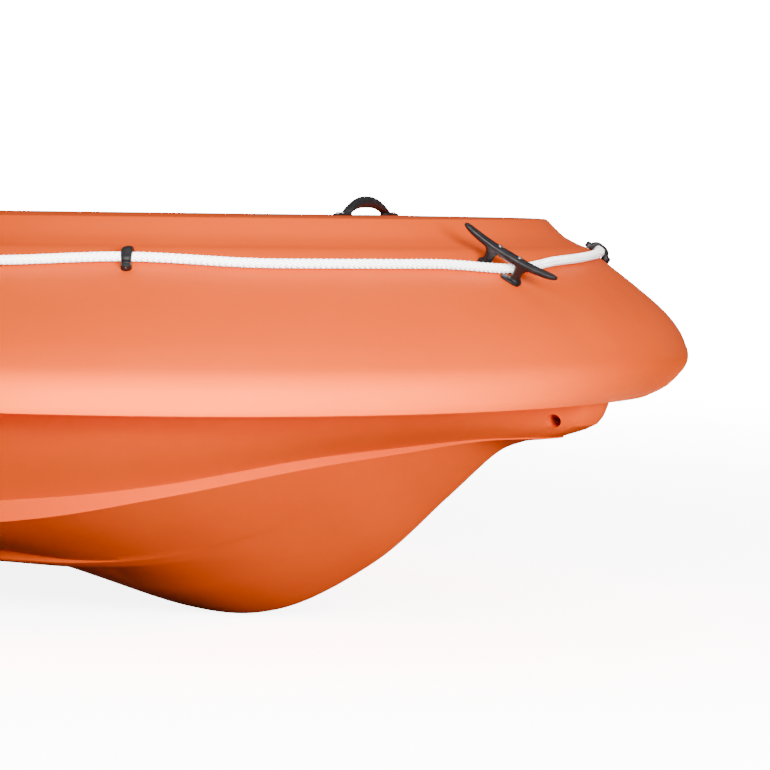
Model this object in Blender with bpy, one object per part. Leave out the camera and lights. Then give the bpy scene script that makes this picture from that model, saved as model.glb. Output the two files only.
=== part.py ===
"""A rotomoulded polyethylene dinghy of the rigid tender kind, about 3 m long.

The boat frame has +X forward, +Y to port and +Z up, with X = 0 at the centre of the round bow and
Z = 0 at the lowest point of the forefoot. One empty turns that frame to the way the boat parks on a
floor: on its forefoot and on the aft ends of its two runners.
"""

import math

import bmesh
import bpy
from mathutils import Matrix, Vector

# Driving dimensions in metres
GAP = 0.0003
CREST_RADIUS = 0.516
RIM_REACH = 0.202
NOSE_LIFT = 0.012
CREST_HEIGHT = 0.562
SHEER_SLOPE = 0.012
COLLAR_DEPTH = 0.250
COLLAR_INNER = -0.090
STERN_X = -2.276
TRANSOM_X = -2.130
TRANSOM_THICKNESS = 0.050
FOREDECK_X = 0.200
STEP_X = -0.250
SOLE_HEIGHT = 0.200
SOLE_THICKNESS = 0.015
COCKPIT_HALF = CREST_RADIUS + COLLAR_INNER
MOTOR_MOUNT_HEIGHT = 0.480
RUNNER_SHARE = 0.60
RUNNER_WIDTH = 0.030
LOCKER = (0.060, -0.190, 0.210)
LOCKER_FLOOR = 0.200
LID_LAP = 0.018
LID_THICKNESS = 0.014
HINGE_BARREL = 0.005
HINGE_LEAF = 0.026
HINGE_KNUCKLE = 0.030
FOREDECK_CROWN = 0.002
THWART = (-0.750, -1.030)
THWART_HEIGHT = 0.440
BENCH_X = -1.720
BENCH_HEIGHT = 0.400
PAD_THICKNESS = 0.012
DRAIN_Y = 0.200
DRAIN_Z = 0.215
TOW_HOLE = 0.018
TOW_HOLE_X = 0.580
TOW_HOLE_Z = 0.288
HANDLE_X = 0.280
HANDLE = (0.154, 0.027, 0.0135, 0.034, 0.018)
STERN_HANDLE_X = -1.950
CLEAT_LENGTH = 0.145
CLEAT_ANGLE = 22.7
CLEAT_OFFSET = 0.096
CLEAT_TURN = 32.0
CLEAT_LIFT = 0.0008
ROWLOCK_X = -1.320
ROWLOCK_PIN = 0.012
SOCKET_HEIGHT = 0.030
HOLDER_PLACES = (72.0, -0.458, -1.130, -1.780)
HOLDER = (0.028, 0.0195, 0.006, 0.010, 0.016)
HOLDER_OFFSET = 0.079
BOW_HOLDER_ANGLE = 22.5
BOW_HOLDER_OFFSET = 0.072
HOLDER_LIFT = 0.0004
ROPE_LIFT = 0.0008
ROPE_DIAMETER = 0.012
ROPE_STEP = 0.043
ROPE_TAIL = 0.070
ROPE_OFFSET = 0.088
ROPE_RUN = 0.160
DIP_ANGLE = 20.7
ROPE_DIP = 0.0088
DIP_RUN = 0.110
BOW_ROPE_RUN = 0.420
ARC_STEPS = 16
STRAIGHT_STEPS = 7

# Turns an outline drawn in X and Y so that it stands in Y and Z, its thickness running forward
STANDING = Matrix(((0, 0, 1, 0), (1, 0, 0, 0), (0, 1, 0, 0), (0, 0, 0, 1)))

# Turns an outline drawn in X and Y so that it stands in X and Z, its thickness running across
ACROSS = Matrix.Rotation(math.radians(90), 4, "X")

# The outside of the collar: outboard of the crest and below it
COLLAR_OUTSIDE = (
    (0.000, 0.000),
    (0.024, 0.0238),
    (0.044, 0.0352),
    (0.061, 0.0425),
    (0.082, 0.0590),
    (0.124, 0.0915),
    (0.163, 0.1245),
    (0.186, 0.1510),
    (0.198, 0.1780),
    (RIM_REACH, 0.1990),
    (0.194, 0.220),
    (0.173, 0.240),
    (0.146, COLLAR_DEPTH),
)
COLLAR_INSIDE = (
    (COLLAR_INNER, COLLAR_DEPTH),
    (COLLAR_INNER, 0.062),
    (-0.080, 0.026),
    (-0.056, 0.006),
    (-0.030, 0.000),
)

# Lines of the hull bottom, bow to stern: forward, outboard and above the forefoot
SHEER_LINE = (
    (0.633, 0.000),
    (0.622, 0.048),
    (0.580, 0.070),
    (0.520, 0.112),
    (0.465, 0.235),
    (0.370, 0.385),
    (0.210, 0.530),
    (0.000, 0.592),
    (-0.300, 0.605),
    (-1.200, 0.605),
    (TRANSOM_X, 0.600),
)
BELLY_LINE = (
    (0.618, 0.000, 0.280),
    (0.606, 0.043, 0.280),
    (0.566, 0.064, 0.281),
    (0.505, 0.103, 0.283),
    (0.445, 0.214, 0.282),
    (0.345, 0.358, 0.275),
    (0.185, 0.492, 0.264),
    (-0.010, 0.549, 0.258),
    (-0.300, 0.562, 0.255),
    (-1.200, 0.565, 0.255),
    (TRANSOM_X, 0.562, 0.255),
)
CHINE_LINE = (
    (0.570, 0.000, 0.263),
    (0.560, 0.034, 0.263),
    (0.525, 0.053, 0.263),
    (0.474, 0.086, 0.261),
    (0.410, 0.184, 0.255),
    (0.315, 0.312, 0.243),
    (0.160, 0.430, 0.213),
    (-0.020, 0.486, 0.194),
    (-0.300, 0.502, 0.182),
    (-1.200, 0.508, 0.176),
    (TRANSOM_X, 0.508, 0.176),
)
CHINE_STRIP = (0.002, 0.002, 0.002, 0.003, 0.008, 0.013, 0.017, 0.028, 0.032, 0.032, 0.032)
RUNNER_DEPTH = (0.0, 0.0, 0.0, 0.0, 0.0, 0.0, 0.0, 0.003, 0.019, 0.024, 0.0316)
BOTTOM_CURVE = 1.2
KEEL_LINE = (
    (0.560, 0.260),
    (0.540, 0.258),
    (0.508, 0.253),
    (0.466, 0.232),
    (0.385, 0.160),
    (0.290, 0.078),
    (0.150, 0.009),
    (0.010, 0.0065),
    (-0.190, 0.071),
    (-0.700, 0.100),
    (TRANSOM_X, 0.100),
)


def crest_height(x):
    """The height of the collar's crest at a distance forward of the bow centre: a straight sheer."""
    return CREST_HEIGHT + SHEER_SLOPE * (CREST_RADIUS - x)


def curve_through(points, t):
    """A smooth curve through the points, at t counted in points from the first."""
    last = len(points) - 1
    i = min(int(t), last - 1)
    f = t - i
    a = points[max(i - 1, 0)]
    b = points[i]
    c = points[i + 1]
    d = points[min(i + 2, last)]
    return tuple(
        0.5 * (2 * q + (r - p) * f + (2 * p - 5 * q + 4 * r - s) * f * f + (3 * q - p - 3 * r + s) * f**3)
        for p, q, r, s in zip(a, b, c, d)
    )


def material(name, colour, roughness, metallic=0.0):
    made = bpy.data.materials.new(name)
    made.use_nodes = True
    shader = made.node_tree.nodes["Principled BSDF"]
    shader.inputs["Base Color"].default_value = (*colour, 1.0)
    shader.inputs["Roughness"].default_value = roughness
    shader.inputs["Metallic"].default_value = metallic
    return made


def solid(name, vertices, faces, finish, parent, place=None):
    """One closed body from its vertices and faces, with faces turned to point out."""
    mesh = bpy.data.meshes.new(name)
    work = bmesh.new()
    made = [work.verts.new(v) for v in vertices]
    for face in faces:
        work.faces.new([made[i] for i in face])
    bmesh.ops.remove_doubles(work, verts=work.verts, dist=0.00001)
    bmesh.ops.recalc_face_normals(work, faces=work.faces)
    work.to_mesh(mesh)
    work.free()
    mesh.materials.append(finish)
    piece = bpy.data.objects.new(name, mesh)
    bpy.context.scene.collection.objects.link(piece)
    piece.parent = parent
    if place is not None:
        piece.matrix_local = place
    return piece


def prism(name, outline, low, high, finish, parent, place=None):
    """An outline of (x, y) points extruded from low to high along Z."""
    n = len(outline)
    vertices = [(x, y, low) for x, y in outline] + [(x, y, high) for x, y in outline]
    faces = [tuple(range(n)), tuple(range(n, 2 * n))]
    faces += [(i, (i + 1) % n, n + (i + 1) % n, n + i) for i in range(n)]
    return solid(name, vertices, faces, finish, parent, place)


def block(name, low, high, finish, parent, round_edge=0.0, place=None):
    """A box between two corners, its edges rounded over."""
    outline = [(low[0], low[1]), (high[0], low[1]), (high[0], high[1]), (low[0], high[1])]
    piece = prism(name, outline, low[2], high[2], finish, parent, place)
    if round_edge:
        round_over(piece, round_edge)
    return piece


def round_over(piece, width, segments=2):
    bevel = piece.modifiers.new("rounded edges", "BEVEL")
    bevel.width = width
    bevel.segments = segments
    bevel.limit_method = "ANGLE"
    bevel.angle_limit = math.radians(40)


def cut(piece, cutter):
    """Cuts one piece by another, which is kept as a hidden guide."""
    cutter.hide_render = True
    cutter.display_type = "WIRE"
    boolean = piece.modifiers.new("cut", "BOOLEAN")
    boolean.operation = "DIFFERENCE"
    boolean.object = cutter


def smooth_shaded(piece, angle=35):
    piece.data.shade_smooth()
    piece.data.set_sharp_from_angle(angle=math.radians(angle))


def loft(name, rings, finish, parent):
    """A closed body through rings of equally many points, with both ends filled."""
    n = len(rings[0])
    vertices = [point for ring in rings for point in ring]
    faces = [tuple(range(n)), tuple(range(len(vertices) - n, len(vertices)))]
    for k in range(len(rings) - 1):
        a = k * n
        b = a + n
        faces += [(a + i, a + (i + 1) % n, b + (i + 1) % n, b + i) for i in range(n)]
    return solid(name, vertices, faces, finish, parent)


# The collar's plan: a half circle round the bow centre, then straight aft


def plan_stations():
    """Stations along one side from the stem aft: (centre x, outward x, outward y)."""
    stations = []
    for i in range(ARC_STEPS + 1):
        turn = math.radians(90.0) * i / ARC_STEPS
        stations.append((0.0, math.cos(turn), math.sin(turn)))
    for i in range(1, STRAIGHT_STEPS + 1):
        stations.append((TRANSOM_X * i / STRAIGHT_STEPS, 0.0, 1.0))
    return stations


def on_plan(station, offset, below, side=-1):
    """The point at an offset outboard of the crest and a depth below it; the rim's underside lifts at the nose."""
    centre, out_x, out_y = station
    reach = CREST_RADIUS + offset
    x = centre + reach * out_x
    low = min(max((offset - 0.125) / 0.065, 0.0), 1.0) * min(max((below - 0.150) / 0.080, 0.0), 1.0)
    return (x, side * reach * out_y, crest_height(x) - below + NOSE_LIFT * low * out_x**6)


def station_at(x_plan):
    """The station of a point given by its angle from the stem in degrees, or aft by metres if negative."""
    if x_plan < 0:
        return (x_plan, 0.0, 1.0)
    turn = math.radians(x_plan)
    return (0.0, math.cos(turn), math.sin(turn))


def make_collar(finish, parent):
    section = COLLAR_OUTSIDE + COLLAR_INSIDE
    half = plan_stations()
    rings = []
    for side, stations in ((-1, list(reversed(half))), (1, half[1:])):
        for station in stations:
            rings.append([on_plan(station, offset, below, side) for offset, below in section])
    middle = (
        0.5 * (RIM_REACH + COLLAR_INNER),
        0.55 * COLLAR_DEPTH,
    )
    overhang = TRANSOM_X - STERN_X
    for side in (-1, 1):
        ends = []
        for t in (0.35, 0.65, 0.85, 0.96, 1.0):
            shrink = max(math.sqrt(1.0 - t * t), 0.30)
            station = (TRANSOM_X - overhang * t, 0.0, 1.0)
            ring = []
            for offset, below in section:
                o = middle[0] + (offset - middle[0]) * shrink
                b = middle[1] + (below - middle[1]) * shrink
                ring.append(on_plan(station, o, b, side))
            ends.append(ring)
        rings = list(reversed(ends)) + rings if side < 0 else rings + ends
    collar = loft("collar", rings, finish, parent)
    smooth_shaded(collar, 50)
    return collar


# The hull bottom: lines lofted from the stem aft, mirrored about the keel


def hull_lines(t):
    """The half section of the hull bottom at t points aft of the stem, sheer to keel."""
    sheer = curve_through(SHEER_LINE, t)
    belly = curve_through(BELLY_LINE, t)
    chine = curve_through(CHINE_LINE, t)
    strip = curve_through([(depth,) for depth in CHINE_STRIP], t)[0]
    runner = curve_through([(depth,) for depth in RUNNER_DEPTH], t)[0]
    keel = curve_through(KEEL_LINE, t)
    top = crest_height(sheer[0]) - COLLAR_DEPTH - GAP
    low = (chine[0], max(chine[1] - 0.1 * strip, 0.0), chine[2] - strip)
    edge = 0.5 * RUNNER_WIDTH / max(low[1], 5.0 * RUNNER_WIDTH)
    bottom = (
        (0.75, 0.0),
        (RUNNER_SHARE + edge, 0.0),
        (RUNNER_SHARE + 0.9 * edge, runner),
        (RUNNER_SHARE - 0.6 * edge, runner),
        (RUNNER_SHARE - edge, 0.0),
        (0.25, 0.0),
        (0.10, 0.0),
    )
    half = [(sheer[0], sheer[1], top), belly, chine, low]
    for share, below in bottom:
        x = keel[0] + (low[0] - keel[0]) * share
        z = keel[1] + (low[2] - keel[1]) * share**BOTTOM_CURVE
        half.append((x, low[1] * share, z - below))
    half.append((keel[0], 0.0, keel[1]))
    return half


def hull_steps():
    """Where the hull sections are taken, closer together round the stem and the forefoot."""
    steps = []
    for i in range(len(KEEL_LINE) - 1):
        parts = 3 if 3 <= i <= 8 else 2
        parts = 1 if i < 1 else parts
        steps += [i + k / parts for k in range(parts)]
    return steps + [len(KEEL_LINE) - 1]


def make_hull(finish, parent):
    """The outside of the hull as one body, with cockpit, locker and tow tunnel let into it."""
    sections = [hull_lines(t) for t in hull_steps()]
    n = len(sections[0])
    vertices = []
    for section in sections:
        vertices += section
        vertices += [(x, -y, z) for x, y, z in section]
    faces = []
    for k in range(len(sections) - 1):
        a = 2 * n * k
        b = a + 2 * n
        for i in range(n - 1):
            faces.append((a + i, a + i + 1, b + i + 1, b + i))
            faces.append((a + n + i, b + n + i, b + n + i + 1, a + n + i + 1))
        faces.append((a, b, b + n, a + n))
    a = 2 * n * (len(sections) - 1)
    faces.append(tuple(a + i for i in range(n)) + tuple(a + n + i for i in reversed(range(n - 1))))
    hull = hull_from(vertices, faces, finish, parent)
    recess = rounded_outline(STEP_X, TRANSOM_X + TRANSOM_THICKNESS, COCKPIT_HALF)
    floor = SOLE_HEIGHT - SOLE_THICKNESS - GAP
    cut(hull, prism("cockpit recess", recess, floor, 0.5, finish, parent))
    front, back, half = LOCKER
    hollow = rounded_outline(front, back, half, corner=0.030)
    cut(hull, prism("locker hollow", hollow, LOCKER_FLOOR, 0.5, finish, parent))
    rebate = rounded_outline(front + LID_LAP, back - LID_LAP, half + LID_LAP, corner=0.040)
    seat = step_height() - LID_THICKNESS
    cut(hull, prism("lid rebate", rebate, seat, 0.5, finish, parent))
    tunnel = round_outline(0.5 * TOW_HOLE, 12)
    place = Matrix.Translation((TOW_HOLE_X, 0.0, TOW_HOLE_Z)) @ Matrix.Rotation(math.radians(90), 4, "X")
    cut(hull, prism("tow tunnel", tunnel, -0.2, 0.2, finish, parent, place))
    return hull


def hull_from(vertices, faces, finish, parent):
    """The hull's skin, with the faces that collapse on the centreline left out."""
    mesh = bpy.data.meshes.new("hull")
    work = bmesh.new()
    made = [work.verts.new(v) for v in vertices]
    for face in faces:
        work.faces.new([made[i] for i in face])
    bmesh.ops.remove_doubles(work, verts=work.verts, dist=0.0001)
    bmesh.ops.dissolve_degenerate(work, dist=0.00001, edges=work.edges)
    bmesh.ops.recalc_face_normals(work, faces=work.faces)
    work.to_mesh(mesh)
    work.free()
    mesh.materials.append(finish)
    hull = bpy.data.objects.new("hull", mesh)
    bpy.context.scene.collection.objects.link(hull)
    hull.parent = parent
    smooth_shaded(hull, 30)
    return hull


def rounded_outline(front, back, half_width, corner=0.060, inset=0.0, front_corner=None):
    """A plan outline with round corners, symmetric about the centreline."""
    points = []
    fore = front_corner or corner
    centres = (
        (front - inset - fore, half_width - inset - fore, 0.0, fore),
        (back + inset + corner, half_width - inset - corner, 90.0, corner),
        (back + inset + corner, -half_width + inset + corner, 180.0, corner),
        (front - inset - fore, -half_width + inset + fore, 270.0, fore),
    )
    for x, y, start, corner in centres:
        for k in range(4):
            turn = math.radians(start + 30.0 * k)
            points.append((x + corner * math.cos(turn), y + corner * math.sin(turn)))
    return points


def round_outline(radius, sides, x=0.0, y=0.0):
    turns = [2.0 * math.pi * k / sides for k in range(sides)]
    return [(x + radius * math.cos(turn), y + radius * math.sin(turn)) for turn in turns]


def step_height():
    """The raised step ahead of the cockpit is the hull's own top."""
    return crest_height(0.5 * (LOCKER[0] + LOCKER[1])) - COLLAR_DEPTH - GAP


def make_sole(finish, parent):
    outline = rounded_outline(STEP_X, TRANSOM_X + TRANSOM_THICKNESS, COCKPIT_HALF, inset=GAP)
    return prism("cockpit_sole", outline, SOLE_HEIGHT - SOLE_THICKNESS, SOLE_HEIGHT, finish, parent)


def make_foredeck(finish, parent):
    """The crowned deck that fills the round of the bow inside the collar."""
    reach = CREST_RADIUS + COLLAR_INNER - 2.0 * GAP
    side = [(reach * x, reach * y) for _, x, y in plan_stations() if reach * x > FOREDECK_X]
    ahead = side[-1]
    turn = math.radians(90.0 / ARC_STEPS) * len(side)
    behind = (reach * math.cos(turn), reach * math.sin(turn))
    share = (ahead[0] - FOREDECK_X) / (ahead[0] - behind[0])
    side.append((FOREDECK_X, ahead[1] + (behind[1] - ahead[1]) * share))
    outline = list(reversed(side)) + [(x, -y) for x, y in side[1:]]
    profile = ((0.0, COLLAR_DEPTH - GAP), (0.0, 0.062), (0.004, 0.020), (0.030, 0.002), (0.20, -FOREDECK_CROWN))
    rings = []
    for inset, below in profile:
        scale = 1.0 - inset / reach
        ring = []
        for x, y in outline:
            x = FOREDECK_X + (x - FOREDECK_X) * scale
            ring.append((x, y * scale, crest_height(x) - below))
        rings.append(ring)
    deck = loft("foredeck", rings, finish, parent)
    smooth_shaded(deck, 40)
    return deck


def make_locker_lid(finish, hinge_finish, parent):
    """The hatch in the bow step, hung on its forward edge by one strap hinge."""
    front, back, half = LOCKER
    edge = front + LID_LAP
    gap = 0.002
    top = step_height()
    deck = crest_height(edge + HINGE_LEAF) - COLLAR_DEPTH
    pivot = Matrix.Translation((edge + HINGE_BARREL, 0.0, top + HINGE_BARREL + 2.0 * GAP))
    outline = rounded_outline(edge, back - LID_LAP, half + LID_LAP, corner=0.040, inset=gap)
    lid = prism("bow_locker_lid", outline, top - LID_THICKNESS + GAP, top, finish, parent)
    lid.data.transform(pivot.inverted())
    lid.matrix_local = pivot
    round_over(lid, 0.003)
    low = -HINGE_BARREL
    strap = [(-HINGE_LEAF, low - 0.001), (0.0, low - 0.001), (0.0, low + 0.0025), (-HINGE_LEAF, low + 0.0025)]
    middle = HINGE_KNUCKLE - 2.0 * GAP
    join_to(lid, prism("lid strap", strap, -middle, middle, finish, parent, pivot @ ACROSS))
    barrel = round_outline(HINGE_BARREL, 12)
    join_to(lid, prism("lid barrel", barrel, -middle, middle, finish, parent, pivot @ ACROSS))
    base = deck - pivot.translation.z + 2.0 * GAP
    leaf = [(0.0, base), (HINGE_LEAF, base), (HINGE_LEAF, base + 0.003), (0.0, base + 0.003)]
    width = 2.0 * HINGE_KNUCKLE
    hinge = prism("bow_locker_hinge", leaf, -width, width, hinge_finish, parent, pivot @ ACROSS)
    notch = [(-0.01, -0.02), (HINGE_BARREL + 0.002, -0.02), (HINGE_BARREL + 0.002, 0.02), (-0.01, 0.02)]
    cut(hinge, prism("hinge notch", notch, -HINGE_KNUCKLE, HINGE_KNUCKLE, hinge_finish, parent, pivot @ ACROSS))
    for side in (-1, 1):
        near, far = sorted((side * HINGE_KNUCKLE, side * width))
        join_to(hinge, prism("hinge barrel", barrel, near, far, hinge_finish, parent, pivot @ ACROSS))
    return lid


def make_thwart(finish, parent):
    """The centre seat, a moulded box across the cockpit."""
    front, back = THWART
    half = COCKPIT_HALF - GAP
    thwart = block(
        "centre_thwart", (back, -half, SOLE_HEIGHT + GAP), (front, half, THWART_HEIGHT), finish, parent, 0.018
    )
    return thwart


def make_stern_bench(finish, parent):
    back = TRANSOM_X + TRANSOM_THICKNESS
    outline = rounded_outline(BENCH_X, back, COCKPIT_HALF, inset=GAP, front_corner=0.010)
    bench = prism("stern_bench", outline, SOLE_HEIGHT + GAP, BENCH_HEIGHT, finish, parent)
    round_over(bench, 0.008)
    return bench


def make_transom(finish, parent):
    """The board that carries the motor, between the collar's arms, on the hull's aft wall."""
    half = COCKPIT_HALF - GAP
    low = crest_height(TRANSOM_X) - COLLAR_DEPTH + GAP
    top = crest_height(TRANSOM_X) - 0.045
    shoulder = 0.235
    outline = [
        (-half, low),
        (half, low),
        (half, top - 0.015),
        (half - 0.020, top),
        (shoulder + 0.040, top),
        (shoulder, MOTOR_MOUNT_HEIGHT),
        (-shoulder, MOTOR_MOUNT_HEIGHT),
        (-shoulder - 0.040, top),
        (-half + 0.020, top),
        (-half, top - 0.015),
    ]
    place = Matrix.Translation((TRANSOM_X, 0.0, 0.0)) @ STANDING
    transom = prism("transom", outline, 0.0, TRANSOM_THICKNESS, finish, parent, place)
    round_over(transom, 0.006)
    return transom


def make_motor_pads(finish, parent):
    """The plates that the motor's clamp bears on, outside and inside the transom."""
    half = 0.150
    outer = TRANSOM_X - GAP
    inner = TRANSOM_X + TRANSOM_THICKNESS + GAP
    high = MOTOR_MOUNT_HEIGHT - 0.008
    low = (outer - PAD_THICKNESS, -half, 0.250)
    block("motor_pad_outer", low, (outer, half, high), finish, parent, 0.003)
    low = (inner, -0.7 * half, BENCH_HEIGHT + 0.004)
    block("motor_pad_inner", low, (inner + PAD_THICKNESS, 0.7 * half, high), finish, parent, 0.003)


def make_drain(finish, parent):
    """The drain's flange on the transom face, with its screw-in bung."""
    place = Matrix.Translation((TRANSOM_X - GAP, DRAIN_Y, DRAIN_Z)) @ STANDING
    flange = prism("drain_flange", round_outline(0.024, 20), -0.005, 0.0, finish, parent, place)
    bore = prism("drain bore", round_outline(0.0135, 16), -0.1, 0.1, finish, parent, place)
    cut(flange, bore)
    bung = prism("drain_bung", round_outline(0.0125, 16), -0.012, 0.0, finish, parent, place)
    grip = prism("drain grip", [(-0.011, -0.003), (0.011, -0.003), (0.011, 0.003), (-0.011, 0.003)],
                 -0.020, -0.010, finish, parent, place)
    join_to(bung, grip)


def join_to(piece, other):
    """Unites another solid with a piece; the other stays as a hidden guide."""
    other.hide_render = True
    other.display_type = "WIRE"
    boolean = piece.modifiers.new("joined", "BOOLEAN")
    boolean.operation = "UNION"
    boolean.object = other


# Fittings on the collar sit in frames of the collar's skin


def skin_frame(station, offset, side, lift):
    """A frame on the collar: X along it toward the bow, Y down its slope, Z out of its skin."""
    profile = COLLAR_OUTSIDE
    index = 1
    while index < len(profile) - 1 and profile[index][0] < offset:
        index += 1
    (o1, b1), (o2, b2) = profile[index - 1], profile[index]
    below = b1 + (b2 - b1) * (offset - o1) / (o2 - o1)
    length = math.hypot(o2 - o1, b2 - b1)
    centre, out_x, out_y = station
    outward = Vector((out_x, side * out_y, 0.0))
    up = Vector((0.0, 0.0, 1.0))
    slope = (outward * (o2 - o1) - up * (b2 - b1)) / length
    normal = (outward * (b2 - b1) + up * (o2 - o1)) / length
    along = slope.cross(normal)
    place = Matrix.Identity(4)
    point = Vector(on_plan(station, offset, below, side)) + normal * lift
    for row in range(3):
        place[row][0] = along[row]
        place[row][1] = slope[row]
        place[row][2] = normal[row]
        place[row][3] = point[row]
    return place


def arch_outline(span, height, bar, foot):
    """An arch with flat feet, drawn in X and Y, standing on Y = 0."""
    outer = 0.5 * span
    inner = outer - bar
    points = [(-outer - foot, 0.0), (-inner, 0.0)]
    rise = height - bar
    for k in range(9):
        turn = math.radians(180.0 - 22.5 * k)
        points.append((inner * math.cos(turn), max(rise * 0.35 + rise * 0.65 * math.sin(turn), 0.002)))
    points += [(inner, 0.0), (outer + foot, 0.0), (outer + foot, 0.5 * bar), (outer + 0.3 * bar, 0.6 * bar)]
    for k in range(9):
        turn = math.radians(22.5 * k)
        points.append((outer * math.cos(turn), height * 0.40 + height * 0.60 * math.sin(turn)))
    points += [(-outer - 0.3 * bar, 0.6 * bar), (-outer - foot, 0.5 * bar)]
    return points


def make_arch(name, frame, span, height, bar, foot, width, finish, parent):
    """An arch standing in a frame, spanning its Y and as wide as stated along its X."""
    outline = arch_outline(span, height, bar, foot)
    arch = prism(name, outline, -0.5 * width, 0.5 * width, finish, parent, frame @ STANDING)
    round_over(arch, 0.0015, 1)
    return arch


def make_holders(finish, parent):
    """The lifeline's eyes: one on the port shoulder and a row down each side."""
    frame = skin_frame(station_at(BOW_HOLDER_ANGLE), BOW_HOLDER_OFFSET, 1, HOLDER_LIFT)
    make_arch("lifeline_holder_bow", frame, *HOLDER, finish, parent)
    for side, word in ((-1, "starboard"), (1, "port")):
        for number, where in enumerate(HOLDER_PLACES, 1):
            frame = skin_frame(station_at(where), HOLDER_OFFSET, side, HOLDER_LIFT)
            name = f"lifeline_holder_{word}_{number}"
            make_arch(name, frame, *HOLDER, finish, parent)


def crest_frame(x, side):
    """A frame on the flat of the crest, tipped to the sheer: X forward, Z up."""
    place = Matrix.Translation((x, side * (CREST_RADIUS - 0.014), crest_height(x) + 1.5 * GAP))
    return place @ Matrix.Rotation(math.atan(SHEER_SLOPE), 4, "Y")


def handle_outline(span, height, grip, foot):
    """A bowed grip, thick in the middle, on thin foot plates, drawn in X and Y."""
    outer = 0.5 * span
    inner = outer - 0.012
    plate = 0.0035
    points = [(-outer - foot, 0.0), (-inner, 0.0)]
    for k in range(1, 8):
        share = -math.cos(math.radians(22.5 * k))
        points.append((inner * share, (height - grip) * (1.0 - abs(share) ** 1.7)))
    points += [(inner, 0.0), (outer + foot, 0.0), (outer + foot, plate), (outer, plate)]
    for k in range(1, 8):
        share = math.cos(math.radians(22.5 * k))
        points.append((outer * share, plate + (height - plate) * (1.0 - share * share)))
    points += [(-outer, plate), (-outer - foot, plate)]
    return points


def make_handle(name, frame, finish, parent):
    """A carry handle standing in a frame and spanning its Y."""
    span, height, grip, foot, width = HANDLE
    outline = handle_outline(span, height, grip, foot)
    handle = prism(name, outline, -0.5 * width, 0.5 * width, finish, parent, frame @ STANDING)
    round_over(handle, 0.0012, 1)
    return handle


def make_handles(finish, parent):
    frame = Matrix.Translation((HANDLE_X, 0.0, crest_height(HANDLE_X) + FOREDECK_CROWN + 2.0 * GAP))
    make_handle("bow_handle", frame, finish, parent)
    for side, word in ((-1, "starboard"), (1, "port")):
        frame = crest_frame(STERN_HANDLE_X, side) @ Matrix.Rotation(math.radians(90), 4, "Z")
        make_handle(f"stern_handle_{word}", frame, finish, parent)


def make_cleat(finish, parent):
    """The open-base cleat on the starboard shoulder, its lower horn toward the stem."""
    half = 0.5 * CLEAT_LENGTH
    frame = skin_frame(station_at(CLEAT_ANGLE), CLEAT_OFFSET, -1, CLEAT_LIFT)
    frame = frame @ Matrix.Rotation(math.radians(CLEAT_TURN), 4, "Z")
    right = [(0.0148, 0.021), (0.0148, 0.0), (0.033, 0.0), (0.0285, 0.006), (0.0285, 0.022)]
    right += [(half - 0.003, 0.027), (half, 0.031), (half - 0.002, 0.036), (0.030, 0.034)]
    horn = right + [(-x, y) for x, y in reversed(right)]
    cleat = prism("bow_cleat", horn, -0.008, 0.008, finish, parent, frame @ STANDING)
    round_over(cleat, 0.0025, 1)


def make_rowlocks(socket_finish, rowlock_finish, parent):
    for side, word in ((-1, "starboard"), (1, "port")):
        seat = crest_frame(ROWLOCK_X, side)
        socket = block(f"rowlock_socket_{word}", (-0.045, -0.022, 0.0), (0.045, 0.022, SOCKET_HEIGHT),
                       socket_finish, parent, 0.004, seat)
        pin_hole = round_outline(0.5 * ROWLOCK_PIN + 0.0006, 16)
        cut(socket, prism(f"pin hole {word}", pin_hole, 0.004, 0.1, socket_finish, parent, seat))
        pivot = seat @ Matrix.Translation((0.0, 0.0, SOCKET_HEIGHT + 0.0005))
        outline = [(-0.016, 0.0), (0.016, 0.0)]
        for k in range(9):
            turn = math.radians(-60.0 + 15.0 * k)
            outline.append((0.042 * math.cos(turn), 0.046 + 0.042 * math.sin(turn)))
        for k in range(9):
            turn = math.radians(60.0 - 37.5 * k)
            outline.append((0.030 * math.cos(turn), 0.046 + 0.030 * math.sin(turn)))
        for k in range(9):
            turn = math.radians(120.0 + 15.0 * k)
            outline.append((0.042 * math.cos(turn), 0.046 + 0.042 * math.sin(turn)))
        turned = Matrix.Rotation(math.radians(90), 4, "Z")
        crutch = prism(f"rowlock_{word}", outline, -0.008, 0.008, rowlock_finish, parent, pivot)
        crutch.data.transform(turned @ STANDING)
        round_over(crutch, 0.002, 1)
        pin = prism(f"pin {word}", round_outline(0.5 * ROWLOCK_PIN, 16), -0.024, 0.006, rowlock_finish, parent, pivot)
        join_to(crutch, pin)


def make_stern_eyes(finish, parent):
    """Towing eyes on the aft face, outboard of the motor."""
    for side, word in ((-1, "starboard"), (1, "port")):
        frame = Matrix.Translation((TRANSOM_X - GAP, side * 0.300, 0.270)) @ Matrix.Rotation(math.radians(-90), 4, "Y")
        make_arch(f"stern_eye_{word}", frame, 0.050, 0.032, 0.008, 0.012, 0.012, finish, parent)


def along_plan(station):
    """How far aft of the stem a station is, round the crest."""
    centre, out_x, out_y = station
    return CREST_RADIUS * math.atan2(out_y, out_x) - centre


def rope_offset(distance, side):
    """How far outboard the rope lies: high in its eyes, lower between them and lowest at the cleat."""
    supports = [(along_plan(station_at(place)), HOLDER_OFFSET, ROPE_RUN) for place in HOLDER_PLACES]
    bow = side * along_plan(station_at(BOW_HOLDER_ANGLE))
    supports.append((bow, BOW_HOLDER_OFFSET, BOW_ROPE_RUN))
    rise = 0.0
    for centre, offset, run in supports:
        near = 1.0 - min(abs(distance - centre) / run, 1.0)
        rise = max(rise, (ROPE_OFFSET - offset) * near * near * (3.0 - 2.0 * near))
    near = 1.0 - min(abs(distance + side * along_plan(station_at(DIP_ANGLE))) / DIP_RUN, 1.0)
    return ROPE_OFFSET - rise + ROPE_DIP * near * near * (3.0 - 2.0 * near)


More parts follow.
